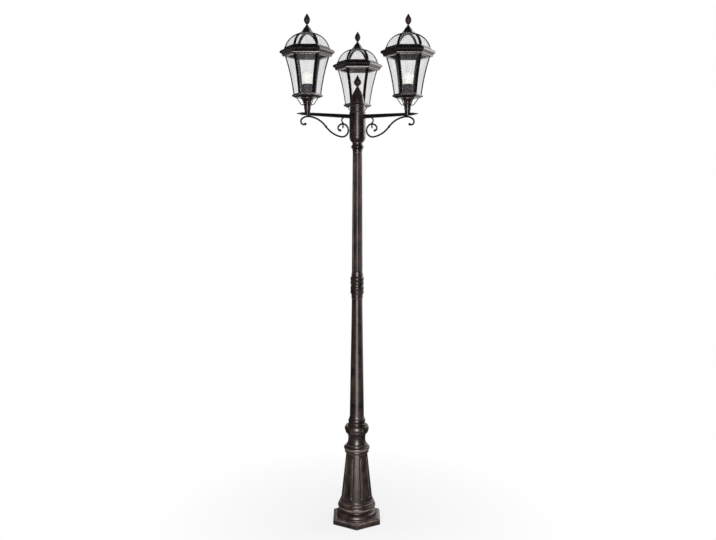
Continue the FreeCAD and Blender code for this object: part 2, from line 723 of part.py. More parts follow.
def pole_socket():
    spigot_r = COLUMN_THROAT_R - SLIDE_FIT
    bore_r = POLE_FOOT_R + SLIDE_FIT
    spigot_foot_z = COLUMN_TOP - SOCKET_SPIGOT_DEPTH
    waist_z = COLUMN_TOP + SOCKET_WAIST_HEIGHT
    outline = [
        (SOCKET_LEDGE_HOLE_R, spigot_foot_z, 0),
        (spigot_r, spigot_foot_z, 0),
        (spigot_r, COLUMN_TOP, 0),
        (SOCKET_FOOT_R, COLUMN_TOP, 0),
        (SOCKET_WAIST_R, COLUMN_TOP + SOCKET_WAIST_RISE, -SOCKET_WAIST_COVE),
    ]
    outline += stacked(waist_z, [
        (SOCKET_WAIST_TOP_R, 0, -SOCKET_WAIST_COVE),
        (SOCKET_BELLY_R, SOCKET_BELLY_RISE, -SOCKET_BELLY_COVE),
        (SOCKET_EDGE_R, SOCKET_EDGE_RISE, SMALL_SWELL),
        (SOCKET_BAND_R, SOCKET_BAND_RISE, -SMALL_SWELL),
        (SOCKET_BAND_R, SOCKET_BAND_HEIGHT, SOCKET_BAND_SWELL),
    ])
    outline += [
        (SOCKET_TOP_R, SOCKET_TOP, COVE),
        (bore_r, SOCKET_TOP, 0),
        (bore_r, POLE_FOOT_Z, 0),
        (SOCKET_LEDGE_HOLE_R, POLE_FOOT_Z, 0),
    ]
    outside_r = SOCKET_BAND_R + SOCKET_BAND_SWELL + BEYOND
    drill = outward_rod(SOCKET_SCREW_R + SCREW_FIT, 0, outside_r, SOCKET_SCREW_Z)
    seat = outward_rod(SOCKET_SCREW_HEAD_R + SOCKET_SCREW_SEAT_PLAY, socket_screw_seat_r(), outside_r,
                       SOCKET_SCREW_Z)
    cuts = around(drill, SOCKET_SCREW_COUNT, SOCKET_SCREW_ANGLE)
    cuts += around(seat, SOCKET_SCREW_COUNT, SOCKET_SCREW_ANGLE)
    return turned(outline).cut(Part.makeCompound(cuts))


def socket_screws():
    tip = POLE_FOOT_R + SLIDE_FIT
    seat = socket_screw_seat_r()
    head_end = seat + SOCKET_SCREW_HEAD_LENGTH
    shank = outward_rod(SOCKET_SCREW_R, tip, seat, SOCKET_SCREW_Z)
    head = outward_rod(SOCKET_SCREW_HEAD_R, seat, head_end, SOCKET_SCREW_Z)
    key = outward_rod(SOCKET_SCREW_KEY_R, head_end - SOCKET_SCREW_HEAD_LENGTH / 2, head_end + BEYOND,
                      SOCKET_SCREW_Z)
    screw = shank.fuse(head).cut(key)
    return Part.makeCompound(around(screw, SOCKET_SCREW_COUNT, SOCKET_SCREW_ANGLE))


def lower_pole():
    inner_r = POLE_FOOT_R - POLE_WALL
    spigot_hole_r = UPPER_POLE_SPIGOT_R + SLIDE_FIT
    outline = [(inner_r, POLE_FOOT_Z, 0), (POLE_FOOT_R, POLE_FOOT_Z, 0), (POLE_FOOT_R, SOCKET_TOP, 0)]
    outline += stacked(SOCKET_TOP, [
        (LOWER_POLE_SEAT_R, 0, 0),
        (LOWER_POLE_BEAD_R, LOWER_POLE_BEAD_HEIGHT, LOWER_POLE_BEAD_SWELL),
        (LOWER_POLE_RING_R, LOWER_POLE_RING_RISE, -SMALL_SWELL),
        (LOWER_POLE_RING_R, LOWER_POLE_RING_HEIGHT, LOWER_POLE_RING_SWELL),
        (LOWER_POLE_FILLET_R, LOWER_POLE_FILLET_RISE, 0),
    ])
    outline += [
        (LOWER_POLE_SHAFT_R, LOWER_SHAFT_Z, -COVE),
        (POLE_JOINT_R, LOWER_SHAFT_Z + LOWER_POLE_SHAFT_HEIGHT, 0),
        (POLE_JOINT_R, POLE_JOINT_Z, 0),
        (spigot_hole_r, POLE_JOINT_Z, 0),
        (spigot_hole_r, POLE_JOINT_Z - UPPER_POLE_SPIGOT_DEPTH - UPPER_POLE_SPIGOT_END_PLAY, 0),
        (inner_r, LOWER_SHAFT_Z, 0),
    ]
    return turned(outline)


def coupling_ring(z):
    """One half-round ring of the coupling, from its lower to its upper groove."""
    body_r = POLE_JOINT_R + COUPLING_BODY
    ring_r = body_r + COUPLING_RING_STEP
    return [
        (body_r, z, 0),
        (ring_r, z + COUPLING_RING_EDGE, 0),
        (ring_r, z + COUPLING_RING_HEIGHT - COUPLING_RING_EDGE, COUPLING_RING_SWELL),
        (body_r, z + COUPLING_RING_HEIGHT, 0),
    ]


def pole_coupling():
    """A sleeve with two pairs of rings between its lower and upper skirts."""
    low = POLE_JOINT_Z - COUPLING_BELOW_JOINT
    top = low + COUPLING_HEIGHT
    bore_r = POLE_JOINT_R + SLIDE_FIT
    lip_r = POLE_JOINT_R + COUPLING_LIP
    outline = [(bore_r, low, 0)]
    outline += stacked(low, [
        (lip_r, 0, 0),
        (lip_r + COUPLING_LIP_SLOPE, COUPLING_SKIRT_HEIGHT, 0),
        (POLE_JOINT_R + COUPLING_BODY, COUPLING_FLARE_RISE, -COVE),
    ])
    for pair in range(2):
        for ring in range(2):
            outline += coupling_ring(low + COUPLING_FIRST_RING + pair * COUPLING_PAIR_PITCH
                                     + ring * COUPLING_RING_PITCH)
    outline += [
        (lip_r + COUPLING_LIP_SLOPE, top - COUPLING_COLLAR_HEIGHT, -COVE),
        (lip_r, top, 0),
        (bore_r, top, 0),
    ]
    return turned(outline)


def upper_pole():
    spigot_foot_z = POLE_JOINT_Z - UPPER_POLE_SPIGOT_DEPTH
    joint_top = POLE_JOINT_Z + UPPER_POLE_JOINT_HEIGHT
    shape = turned([
        (UPPER_POLE_BORE_R, spigot_foot_z, 0),
        (UPPER_POLE_SPIGOT_R, spigot_foot_z, 0),
        (UPPER_POLE_SPIGOT_R, POLE_JOINT_Z, 0),
        (POLE_JOINT_R, POLE_JOINT_Z, 0),
        (POLE_JOINT_R, joint_top, 0),
        (UPPER_POLE_HEAD_R, COLLAR_Z, 0),
        (UPPER_POLE_TENON_R, COLLAR_Z, 0),
        (UPPER_POLE_TENON_R, TERMINAL_Z, 0),
        (UPPER_POLE_BORE_R, TERMINAL_Z, 0),
    ])
    low = (POLE_JOINT_R, joint_top + UPPER_POLE_FLUTE_MARGIN)
    high = (UPPER_POLE_HEAD_R, COLLAR_Z - UPPER_POLE_FLUTE_MARGIN)
    return cut_flutes(shape, UPPER_POLE_FLUTE_COUNT, FRONT, UPPER_POLE_FLUTE_R, UPPER_POLE_FLUTE_DEPTH,
                      low, high)


def hub_collar():
    bore_r = UPPER_POLE_TENON_R + SLIDE_FIT
    outline = [(bore_r, COLLAR_Z, 0)]
    outline += stacked(COLLAR_Z, [
        (UPPER_POLE_HEAD_R + COLLAR_LEDGE, 0, 0),
        (COLLAR_FLARE_R, COLLAR_FLARE_HEIGHT, -COVE),
        (COLLAR_RING_R, COLLAR_RING_RISE, -SMALL_SWELL),
        (COLLAR_RING_R, COLLAR_RING_HEIGHT, COLLAR_RING_SWELL),
        (COLLAR_NECK_R, COLLAR_NECK_RISE, -COVE),
    ])
    outline += [(COLLAR_NECK_R, HUB_Z, 0), (bore_r, HUB_Z, 0)]
    return turned(outline)


def hub_column():
    tenon_hole_r = UPPER_POLE_TENON_R + SLIDE_FIT
    step_z = HUB_Z + HUB_STEP_HEIGHT
    shape = turned([
        (tenon_hole_r, HUB_Z, 0),
        (HUB_FOOT_R, HUB_Z, 0),
        (HUB_R, HUB_Z + HUB_BULB_HEIGHT, HUB_BULB_SWELL),
        (HUB_R, step_z, 0),
        (HUB_UPPER_R, step_z + HUB_STEP_RISE, 0),
        (HUB_UPPER_R, HUB_TOP, 0),
        (HUB_BORE_R, HUB_TOP, 0),
        (HUB_BORE_R, HUB_Z + HUB_BULB_HEIGHT, 0),
        (HUB_FLOOR_R, HUB_Z + HUB_FLOOR, 0),
        (tenon_hole_r, HUB_Z + HUB_FLOOR, 0),
    ])
    drill = outward_rod(ARM_SPIGOT_R + SLIDE_FIT, 0, HUB_R + BEYOND, ARM_Z)
    return shape.cut(Part.makeCompound(along_arms(drill)))


def hub_cap():
    spigot_r = HUB_BORE_R - SLIDE_FIT
    spigot_foot_z = HUB_TOP - HUB_CAP_SPIGOT_DEPTH
    hollow_z = HUB_TOP + HUB_CAP_HOLLOW_HEIGHT
    outline = [(HUB_CAP_HOLLOW_R, spigot_foot_z, 0), (spigot_r, spigot_foot_z, 0), (spigot_r, HUB_TOP, 0)]
    outline += stacked(HUB_TOP, [
        (HUB_CAP_RING_R, 0, 0),
        (HUB_CAP_RING_R, HUB_CAP_RING_HEIGHT, HUB_CAP_RING_SWELL),
        (HUB_CAP_STEP_R, HUB_CAP_STEP_RISE, 0),
        (HUB_CAP_WALL_R, HUB_CAP_WALL_HEIGHT, 0),
        (HUB_CAP_SHOULDER_R, HUB_CAP_SHOULDER_RISE, HUB_CAP_SHOULDER_SWELL),
        (HUB_CAP_HEAD_R, HUB_CAP_HEAD_RISE, -SMALL_SWELL),
    ])
    outline += [
        (HUB_CAP_NECK_R, HUB_CAP_TOP, 0),
        (0, HUB_CAP_TOP, 0),
        (0, hollow_z, 0),
        (HUB_CAP_HOLLOW_R, hollow_z, 0),
    ]
    hole_z = HUB_CAP_TOP - HUB_FINIAL_STUD_LENGTH - HUB_FINIAL_STUD_PLAY
    return turned(outline).cut(cylinder(HUB_FINIAL_STUD_R + SCREW_FIT, hole_z, HUB_CAP_TOP + BEYOND))


def hub_finial():
    """A stud under a round bud that draws in to a slender point."""
    stud_z = HUB_CAP_TOP - HUB_FINIAL_STUD_LENGTH
    top = HUB_CAP_TOP + HUB_FINIAL_HEIGHT
    outline = [(0, stud_z, 0), (HUB_FINIAL_STUD_R, stud_z, 0), (HUB_FINIAL_STUD_R, HUB_CAP_TOP, 0)]
    outline += stacked(HUB_CAP_TOP, [
        (HUB_FINIAL_FOOT_R, 0, 0),
        (HUB_CAP_NECK_R, HUB_FINIAL_FOOT_HEIGHT, -SMALL_SWELL),
        (HUB_FINIAL_BUD_R, HUB_FINIAL_BUD_RISE, HUB_FINIAL_BUD_SWELL),
        (HUB_FINIAL_SHOULDER_R, HUB_FINIAL_SHOULDER_RISE, HUB_FINIAL_SHOULDER_SWELL),
    ])
    outline += [(TIP_R, top, 0), (0, top, 0)]
    return turned(outline)


def terminal_block():
    return turned(ring_outline(TERMINAL_HOLE_R, TERMINAL_R, TERMINAL_Z, TERMINAL_Z + TERMINAL_HEIGHT))


def lamp_leads():
    """Three leads from the terminal block through the arms and stems up to the lampholders."""
    start_z = TERMINAL_Z + TERMINAL_HEIGHT
    steps = [
        (ARM_Z - LEAD_BEND_R - start_z, 0),
        (LEAD_BEND_R, -90.0),
        (ARM_REACH - LEAD_TURN_UP_R - LEAD_BEND_R - LEAD_START_R, 0),
        (LEAD_TURN_UP_R, 90.0),
        (NIPPLE_ENTRY_TOP - ARM_Z - LEAD_TURN_UP_R, 0),
    ]
    lead, end, heading = bent_rod((LEAD_START_R, start_z), 90.0, steps, LEAD_R)
    return Part.makeCompound(along_arms(lead))


# ---------------------------------------------------------------- arms, drawn along +X

def bar_section(x, width, depth):
    """The eight-cornered section of an arm at a distance from the post's axis."""
    half_w = width / 2
    half_d = depth / 2
    c = ARM_CHAMFER
    corners = [
        (half_w, half_d - c), (half_w - c, half_d), (c - half_w, half_d), (-half_w, half_d - c),
        (-half_w, c - half_d), (c - half_w, -half_d), (half_w - c, -half_d), (half_w, c - half_d),
    ]
    points = [vec(x, y, ARM_Z + z) for y, z in corners]
    return Part.makePolygon(points + points[:1])


def arm_tip():
    """Beads that shrink to a point at the arm's end, turned about the arm's own line."""
    outline = [(0, -OVERLAP, 0), (ARM_TIP_ROOT_R, -OVERLAP, 0)]
    x = 0.0
    for bead in range(ARM_TIP_BEADS):
        share = ARM_TIP_TAPER ** bead
        outline += [(ARM_TIP_ROOT_R * share, x, 0)]
        x += ARM_TIP_BEAD_LENGTH * share
        outline += [(ARM_TIP_ROOT_R * share, x, ARM_TIP_BEAD_SWELL * share)]
        x += ARM_TIP_GROOVE
    outline += [(TIP_R, ARM_TIP_LENGTH, 0), (0, ARM_TIP_LENGTH, 0)]
    tip = turned(outline)
    tip.rotate(CENTRE, vec(0, 1, 0), 90)
    tip.translate(vec(ARM_BAR_END, 0, ARM_Z))
    return tip


def arm():
    bar = Part.makeLoft([bar_section(HUB_BORE_R, ARM_WIDTH, ARM_ROOT_DEPTH),
                         bar_section(ARM_BAR_END, ARM_END_WIDTH, ARM_END_DEPTH)], True, True)
    bar = bar.cut(cylinder(HUB_R, ARM_Z - ARM_ROOT_DEPTH, ARM_Z + ARM_ROOT_DEPTH))
    boss = cylinder(ARM_BOSS_R, ARM_Z - ARM_END_DEPTH / 4, STEM_Z)
    boss.translate(vec(ARM_REACH, 0, 0))
    spigot = outward_rod(ARM_SPIGOT_R, HUB_BORE_R, HUB_R + ARM_SPIGOT_ROOT, ARM_Z)
    wire_way = outward_rod(ARM_BORE_R, 0, ARM_REACH + LEAD_R, ARM_Z)
    riser = cylinder(NIPPLE_BORE_R, ARM_Z, STEM_Z + BEYOND)
    thread = cylinder(NIPPLE_R + SCREW_FIT, STEM_Z - NIPPLE_ENGAGEMENT, STEM_Z + BEYOND)
    for way in (riser, thread):
        way.translate(vec(ARM_REACH, 0, 0))
    return fused([bar, boss, spigot, arm_tip()]).cut(Part.makeCompound([wire_way, riser, thread]))


def arm_underside(reach):
    """The height of the arm's lower face at a distance from the post's axis."""
    share = (reach - HUB_BORE_R) / (ARM_BAR_END - HUB_BORE_R)
    return ARM_Z - (ARM_ROOT_DEPTH + (ARM_END_DEPTH - ARM_ROOT_DEPTH) * share) / 2


def scroll_part_to(heading):
    """The scroll's steps from its crest until its inner curl points in a direction."""
    steps = [SCROLL_SWEEP, SCROLL_BELLY, SCROLL_HEEL]
    turned_so_far = sum(turn for radius, turn in steps)
    return steps + [(SCROLL_CURL[0], heading - 180.0 - turned_so_far)]


def scroll_crest():
    """The scroll's highest point, so far out that its heel clears the hub."""
    edges, heel, heading = rod_stretches((0.0, 0.0), 180.0, scroll_part_to(90.0))
    reach = HUB_R + SCROLL_HUB_GAP + SCROLL_ROD_R - heel[0]
    return (reach, arm_underside(reach) - SCROLL_ROD_R)


def scroll_knot(place, heading):
    """The bead on a scroll's rod where its sweep meets its belly."""
    end_r = SCROLL_ROD_R / 2
    bead = turned([
        (0, -SCROLL_KNOT_LENGTH / 2, 0),
        (end_r, -SCROLL_KNOT_LENGTH / 2, 0),
        (end_r, SCROLL_KNOT_LENGTH / 2, SCROLL_KNOT_R - end_r),
        (0, SCROLL_KNOT_LENGTH / 2, 0),
    ])
    bead.rotate(CENTRE, vec(0, 1, 0), 90 - heading)
    bead.translate(vec(place[0], 0, place[1]))
    return bead


def scroll():
    crest = scroll_crest()
    inward = [SCROLL_SWEEP, SCROLL_BELLY, SCROLL_HEEL, SCROLL_CURL, SCROLL_EYE]
    outward = [SCROLL_OUTER_FALL, SCROLL_OUTER_CURL]
    inner_rod, eye, heading = bent_rod(crest, 180.0, inward, SCROLL_ROD_R)
    outer_rod, curl_end, heading = bent_rod(crest, 0.0, outward, SCROLL_ROD_R)
    edges, knot, heading = rod_stretches(crest, 180.0, [SCROLL_SWEEP])
    return fused([inner_rod, outer_rod, scroll_knot(knot, heading), ball_at(eye, SCROLL_BALL_R),
                  ball_at(curl_end, SCROLL_BALL_R)])


def scroll_top():
    """The highest point of the inner curl's centre line, where the link clasps it."""
    edges, point, heading = rod_stretches(scroll_crest(), 180.0, scroll_part_to(0.0))
    return point


def scroll_link():
    """A swayed rod from the arm to a clasp round the scroll, with a leaf hanging below it."""
    x, z = scroll_top()
    clasp_inner_r = SCROLL_ROD_R + LINK_CLASP_FIT
    clasp_r = clasp_inner_r + LINK_CLASP_WALL
    foot_z = z + clasp_r - LINK_CLASP_WALL / 2
    drop = arm_underside(x) - foot_z
    bend_r = drop * drop / (8 * LINK_SWAY) + LINK_SWAY / 2
    half_turn = math.degrees(math.asin(drop / 2 / bend_r))
    rod, end, heading = bent_rod((x, foot_z), 90.0 - half_turn, [(bend_r, 2 * half_turn)], LINK_ROD_R)
    pad_z = arm_underside(x - LINK_PAD_R)
    above = cylinder(LINK_CLEARING_R, pad_z - LINK_PAD_HEIGHT / 2, pad_z + LINK_CLEARING_R)
    pad = cylinder(LINK_PAD_R, pad_z - LINK_PAD_HEIGHT, pad_z)
    leaf_top = z - clasp_r + LINK_CLASP_WALL / 2
    leaf_foot = leaf_top - LINK_LEAF_LENGTH
    leaf = turned([
        (0, leaf_foot, 0),
        (TIP_R, leaf_foot, 0),
        (LINK_LEAF_R, leaf_top - LINK_LEAF_DROP, SMALL_SWELL),
        (LINK_LEAF_ROOT_R, leaf_top, SMALL_SWELL),
        (0, leaf_top, 0),
    ])
    for piece in (above, pad, leaf):
        piece.translate(vec(x, 0, 0))
    clasp = outward_rod(clasp_r, x - LINK_CLASP_LENGTH / 2, x + LINK_CLASP_LENGTH / 2, z)
    way = outward_rod(clasp_inner_r, x - LINK_CLASP_LENGTH, x + LINK_CLASP_LENGTH, z)
    return fused([rod.cut(above), pad, clasp, leaf]).cut(way)


# ---------------------------------------------------------------- one lantern, about its own axis

def lantern_stem():
    shoulder_z = STEM_Z + STEM_SHOULDER_HEIGHT
    bore_r = NIPPLE_R + SCREW_FIT
    return turned([
        (bore_r, STEM_Z, 0),
        (STEM_FOOT_R, STEM_Z, 0),
        (STEM_SEAT_R, STEM_Z + STEM_TAPER_HEIGHT, SMALL_SWELL),
        (STEM_SEAT_R, shoulder_z, 0),
        (STEM_SHOULDER_R, shoulder_z, 0),
        (STEM_WAIST_R, shoulder_z + STEM_WAIST_RISE, -SMALL_SWELL),
        (STEM_FLARE_R, PAN_Z - STEM_RIM, -STEM_FLARE_COVE),
        (STEM_FLARE_R, PAN_Z, 0),
        (bore_r, PAN_Z, 0),
    ])


def stem_braces():
    """A ring under the stem's shoulder with a thin rod up to each corner of the pan."""
    ring_r = STEM_SEAT_R + SLIDE_FIT
    root_r = ring_r + BRACE_RING_WALL / 2
    high = STEM_Z + STEM_SHOULDER_HEIGHT
    low = high - BRACE_RING_HEIGHT
    rod_z = (low + high) / 2
    ring = turned(ring_outline(ring_r, ring_r + BRACE_RING_WALL, low, high))
    bend = math.radians(BRACE_BEND)
    rise = PAN_Z - rod_z - BRACE_BEND_R * (1 - math.cos(bend))
    straight = BRACE_TOP_R - rise / math.tan(bend) - BRACE_BEND_R * math.sin(bend) - root_r
    steps = [(straight, 0), (BRACE_BEND_R, BRACE_BEND), (rise / math.sin(bend) + 4 * BRACE_ROD_R, 0)]
    rod, end, heading = bent_rod((root_r, rod_z), 0.0, steps, BRACE_ROD_R)
    rod = rod.common(cylinder(PAN_RIM_R, low, PAN_Z))
    return fused([ring] + around(rod, SIDES, SIDE_ANGLE / 2))


def lantern_nipple():
    return turned(ring_outline(NIPPLE_BORE_R, NIPPLE_R, STEM_Z - NIPPLE_ENGAGEMENT,
                               PAN_FLOOR_Z + NIPPLE_INTO_HOLDER))


def lantern_pan():
    rim_z = CAGE_Z - PAN_RIM_THICKNESS
    pan = mitred([
        (0, PAN_Z, 0),
        (PAN_UNDER_R, PAN_Z, 0),
        (PAN_BELLY_R, rim_z - PAN_RIM_RISE, PAN_BELLY_SWELL),
        (PAN_RIM_R, rim_z, -SMALL_SWELL),
        (PAN_RIM_R, CAGE_Z, 0),
        (PAN_WELL_R, CAGE_Z, 0),
        (PAN_WELL_R, PAN_FLOOR_Z, 0),
        (0, PAN_FLOOR_Z, 0),
    ])
    knob = ball_at((PAN_RIM_R - PAN_KNOB_R - PAN_KNOB_INSET, CAGE_Z - PAN_KNOB_R - PAN_KNOB_DROP),
                   PAN_KNOB_R)
    knobs = around(knob, SIDES, SIDE_ANGLE / 2)
    hole = cylinder(NIPPLE_R + SCREW_FIT, PAN_Z - BEYOND, CAGE_Z)
    return fused([pan] + knobs).cut(hole)


def lantern_cage():
    bar = [
        (CAGE_FOOT_R - CAGE_BAR_THICKNESS, CAGE_Z, -CAGE_BOW),
        (CAGE_FOOT_R, CAGE_Z, 0),
        (CAGE_HEAD_R, CAGE_RING_Z, CAGE_BOW),
        (CAGE_HEAD_R - CAGE_BAR_THICKNESS, CAGE_RING_Z, 0),
    ]
    sill = mitred(ring_outline(CAGE_SILL_INNER_R, CAGE_SILL_OUTER_R, CAGE_Z, CAGE_Z + CAGE_SILL_HEIGHT))
    ring = mitred(ring_outline(CAGE_RING_INNER_R, CAGE_RING_OUTER_R, CAGE_RING_Z, CAGE_TOP))
    return fused([sill, ring] + corner_plates(bar, CAGE_BAR_WIDTH))


def lantern_panes():
    """Six panes behind the bars, standing on the sill and ending under the ring."""
    outer = CAGE_BAR_THICKNESS + PANE_PLAY
    inner = outer + PANE_THICKNESS
    outline = [
        (CAGE_FOOT_R - inner, CAGE_Z, -CAGE_BOW),
        (CAGE_FOOT_R - outer, CAGE_Z, 0),
        (CAGE_HEAD_R - outer, CAGE_RING_Z, CAGE_BOW),
        (CAGE_HEAD_R - inner, CAGE_RING_Z, 0),
    ]
    room = cylinder(CAGE_HEAD_R, CAGE_Z + CAGE_SILL_HEIGHT, CAGE_RING_Z - PANE_PLAY)
    return Part.makeCompound([pane.common(room) for pane in side_pieces(outline, PANE_SIDE_GAP)])


def roof_frame():
    lip_z = BELT_Z + BELT_FILLET_HEIGHT + BELT_COVE_RISE + BELT_LIP_RISE
    skirt_inner_r = CAGE_RING_OUTER_R + LIFT_FIT
    outline = [(skirt_inner_r, BELT_Z, 0)]
    outline += stacked(BELT_Z, [
        (BELT_FOOT_R, 0, 0),
        (BELT_FILLET_R, BELT_FILLET_HEIGHT, 0),
        (BELT_COVE_R, BELT_COVE_RISE, -BELT_COVE),
        (BELT_LIP_R, BELT_LIP_RISE, 0),
        (BELT_LIP_R, BELT_LIP_HEIGHT, 0),
        (BELT_ROUND_R, BELT_ROUND_RISE, BELT_ROUND_SWELL),
        (BELT_STEP_R, BELT_STEP_RISE, 0),
        (BELT_TOP_R, BELT_TOP_RISE, -BELT_COVE),
    ])
    outline += [
        (BELT_TOP_R, BELT_TOP, 0),
        (BELT_TOP_INNER_R, BELT_TOP, 0),
        (BELT_TOP_INNER_R, BELT_TOP - BELT_WALL, 0),
        (BELT_HOLLOW_R, lip_z + BELT_HOLLOW_HEIGHT, 0),
        (BELT_HOLLOW_R, lip_z, 0),
        (BELT_LEDGE_R, CAGE_TOP + BELT_WALL, 0),
        (BELT_LEDGE_R, CAGE_TOP, 0),
        (skirt_inner_r, CAGE_TOP, 0),
    ]
    rib = [
        (RIB_FOOT_R - RIB_THICKNESS, BELT_TOP, -RIB_BOW),
        (RIB_FOOT_R, BELT_TOP, 0),
        (RIB_HEAD_R, CAP_Z, RIB_BOW),
        (RIB_HEAD_R, CAP_Z - RIB_THICKNESS, 0),
    ]
    crown = mitred(ring_outline(CROWN_INNER_R, CROWN_OUTER_R, CROWN_Z, CAP_Z))
    return fused([mitred(outline), crown] + corner_plates(rib, RIB_WIDTH))


def roof_panes():
    """Six curved panes under the ribs, standing on the belt and ending at the crown."""
    outer = RIB_THICKNESS + PANE_PLAY
    inner = outer + PANE_THICKNESS
    outline = [
        (RIB_FOOT_R - inner, BELT_TOP, -RIB_BOW),
        (RIB_FOOT_R - outer, BELT_TOP, 0),
        (RIB_HEAD_R, CAP_Z - outer, RIB_BOW),
        (RIB_HEAD_R, CAP_Z - inner, 0),
    ]
    room = cylinder(BELT_LIP_R, BELT_TOP, CROWN_Z)
    return Part.makeCompound([pane.common(room) for pane in side_pieces(outline, PANE_SIDE_GAP)])


def roof_cap():
    outline = [(0, CAP_Z, 0)]
    outline += stacked(CAP_Z, [
        (CAP_FOOT_R, 0, 0),
        (CAP_FOOT_R, CAP_EDGE_HEIGHT, 0),
        (CAP_WAIST_R, CAP_WAIST_RISE, -CAP_SWEEP),
        (CAP_NECK_R, CAP_NECK_RISE, -COVE),
    ])
    outline += [(CAP_NECK_R, CAP_TOP, 0), (0, CAP_TOP, 0)]
    return mitred(outline).cut(cylinder(FINIAL_STUD_R + SCREW_FIT, CAP_Z - BEYOND, CAP_TOP + BEYOND))


def lantern_finial():
    """A bud on a stud that runs down through the cap to a nut."""
    top = CAP_TOP + FINIAL_HEIGHT
    nut_z = CAP_Z - FINIAL_NUT_HEIGHT
    stud_z = nut_z - FINIAL_STUD_BELOW_NUT
    outline = [(0, stud_z, 0), (FINIAL_STUD_R, stud_z, 0), (FINIAL_STUD_R, CAP_TOP, 0)]
    outline += stacked(CAP_TOP, [
        (FINIAL_FOOT_R, 0, 0),
        (FINIAL_NECK_R, FINIAL_NECK_HEIGHT, -SMALL_SWELL),
        (FINIAL_BUD_R, FINIAL_BUD_RISE, FINIAL_BUD_SWELL),
        (FINIAL_SHOULDER_R, FINIAL_SHOULDER_RISE, FINIAL_SHOULDER_SWELL),
    ])
    outline += [(TIP_R, top, SMALL_SWELL), (0, top, 0)]
    nut = mitred(ring_outline(0, FINIAL_NUT_R, nut_z, CAP_Z))
    nut = nut.cut(cylinder(FINIAL_STUD_R + SCREW_FIT, stud_z, CAP_Z + BEYOND))
    return Part.makeCompound([turned(outline), nut])


def lampholder():
    top = PAN_FLOOR_Z + HOLDER_HEIGHT
    entry_r = NIPPLE_R + SCREW_FIT
    groove_r = HOLDER_R - HOLDER_GROOVE
    outline = [(entry_r, PAN_FLOOR_Z, 0), (HOLDER_R, PAN_FLOOR_Z, 0)]
    outline += stacked(HOLDER_SOCKET_Z, [
        (HOLDER_R, HOLDER_GROOVE_RISE, 0),
        (groove_r, HOLDER_GROOVE, 0),
        (groove_r, HOLDER_GROOVE, 0),
        (HOLDER_R, HOLDER_GROOVE, 0),
    ])
    outline += [
        (HOLDER_R, top - HOLDER_EDGE, 0),
        (HOLDER_R - HOLDER_EDGE, top, SMALL_SWELL),
        (HOLDER_SOCKET_R, top, 0),
        (HOLDER_SOCKET_R, HOLDER_SOCKET_Z, 0),
        (0, HOLDER_SOCKET_Z, 0),
        (0, NIPPLE_ENTRY_TOP, 0),
        (entry_r, NIPPLE_ENTRY_TOP, 0),
    ]
    return turned(outline)


def bulb_cap():
    outline = [(0, BULB_CAP_Z, 0)]
    outline += stacked(BULB_CAP_Z, [
        (BULB_CONTACT_R, 0, 0),
        (BULB_CONTACT_R + BULB_CAP_EDGE, BULB_CONTACT_HEIGHT, 0),
        (BULB_CAP_R - BULB_CAP_EDGE, BULB_CONTACT_HEIGHT, 0),
        (BULB_CAP_R, BULB_CAP_TAPER_HEIGHT, SMALL_SWELL),
    ])
    outline += [(BULB_CAP_R, BULB_GLASS_Z, 0), (0, BULB_GLASS_Z, 0)]
    return turned(outline)


def bulb_outline(inset):
    """The bulb's outer surface, or its inner one where inset is the glass's thickness."""
    centre_z = BULB_GLASS_Z + BULB_CENTRE_ABOVE_CAP
    radius = BULB_R - inset
    shoulder_r = math.sqrt(radius * radius - BULB_SHOULDER * BULB_SHOULDER)
    top_angle = math.acos(TIP_R / radius)
    half_angle = (top_angle + math.asin(BULB_SHOULDER / radius)) / 2
    ball_bulge = radius * (1 - math.cos(half_angle))
    top_z = centre_z + radius * math.sin(top_angle)
    return [
        (0, BULB_GLASS_Z, 0),
        (BULB_CAP_R - BULB_NECK_GAP - inset, BULB_GLASS_Z, 0),
        (shoulder_r, centre_z - BULB_SHOULDER, -COVE),
        (TIP_R, top_z, ball_bulge),
        (0, top_z, 0),
    ]


def bulb_glass():
    return turned(bulb_outline(0)).cut(turned(bulb_outline(BULB_WALL)))


def at_lantern(shape, arm_angle):
    """Moves a lantern piece out along its arm."""
    moved = shape.copy()
    moved.translate(vec(ARM_REACH, 0, 0))
    moved.rotate(CENTRE, UP, arm_angle)
    return moved


def build_parts():
    parts = {
        "base_plinth": base_plinth(),
        "base_column": base_column(),
        "pole_socket": pole_socket(),
        "socket_screws": socket_screws(),
        "lower_pole": lower_pole(),
        "pole_coupling": pole_coupling(),
        "upper_pole": upper_pole(),
        "hub_collar": hub_collar(),
        "hub_column": hub_column(),
        "hub_cap": hub_cap(),
        "hub_finial": hub_finial(),
        "terminal_block": terminal_block(),
        "lamp_leads": lamp_leads(),
    }
    arm_pieces = {"arm": arm(), "scroll": scroll(), "scroll_link": scroll_link()}
    lantern_pieces = {
        "lantern_stem": lantern_stem(),
        "stem_braces": stem_braces(),
        "lantern_pan": lantern_pan(),
        "lantern_cage": lantern_cage(),
        "lantern_panes": lantern_panes(),
        "lampholder": lampholder(),
        "bulb_cap": bulb_cap(),
        "bulb_glass": bulb_glass(),
        "roof_frame": roof_frame(),
        "roof_panes": roof_panes(),
        "roof_cap": roof_cap(),
        "lantern_finial": lantern_finial(),
    }
    nipple = lantern_nipple()
    parts["lantern_nipples"] = Part.makeCompound([at_lantern(nipple, a) for a in ARM_ANGLES.values()])
    for place, angle in ARM_ANGLES.items():
        for name, shape in arm_pieces.items():
            parts[name + "_" + place] = turned_about(CENTRE, angle, shape)
        for name, shape in lantern_pieces.items():
            parts[name + "_" + place] = at_lantern(shape, angle)
    return parts


def main():
    os.makedirs("parts", exist_ok=True)
    for name, shape in build_parts().items():
        if not shape.isValid():
            raise ValueError(name + " is not a valid solid")
        print(name, "solids", len(shape.Solids), "volume", round(shape.Volume))
        shape.exportStep("parts/" + name + ".step")


main()
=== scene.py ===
import json
import math

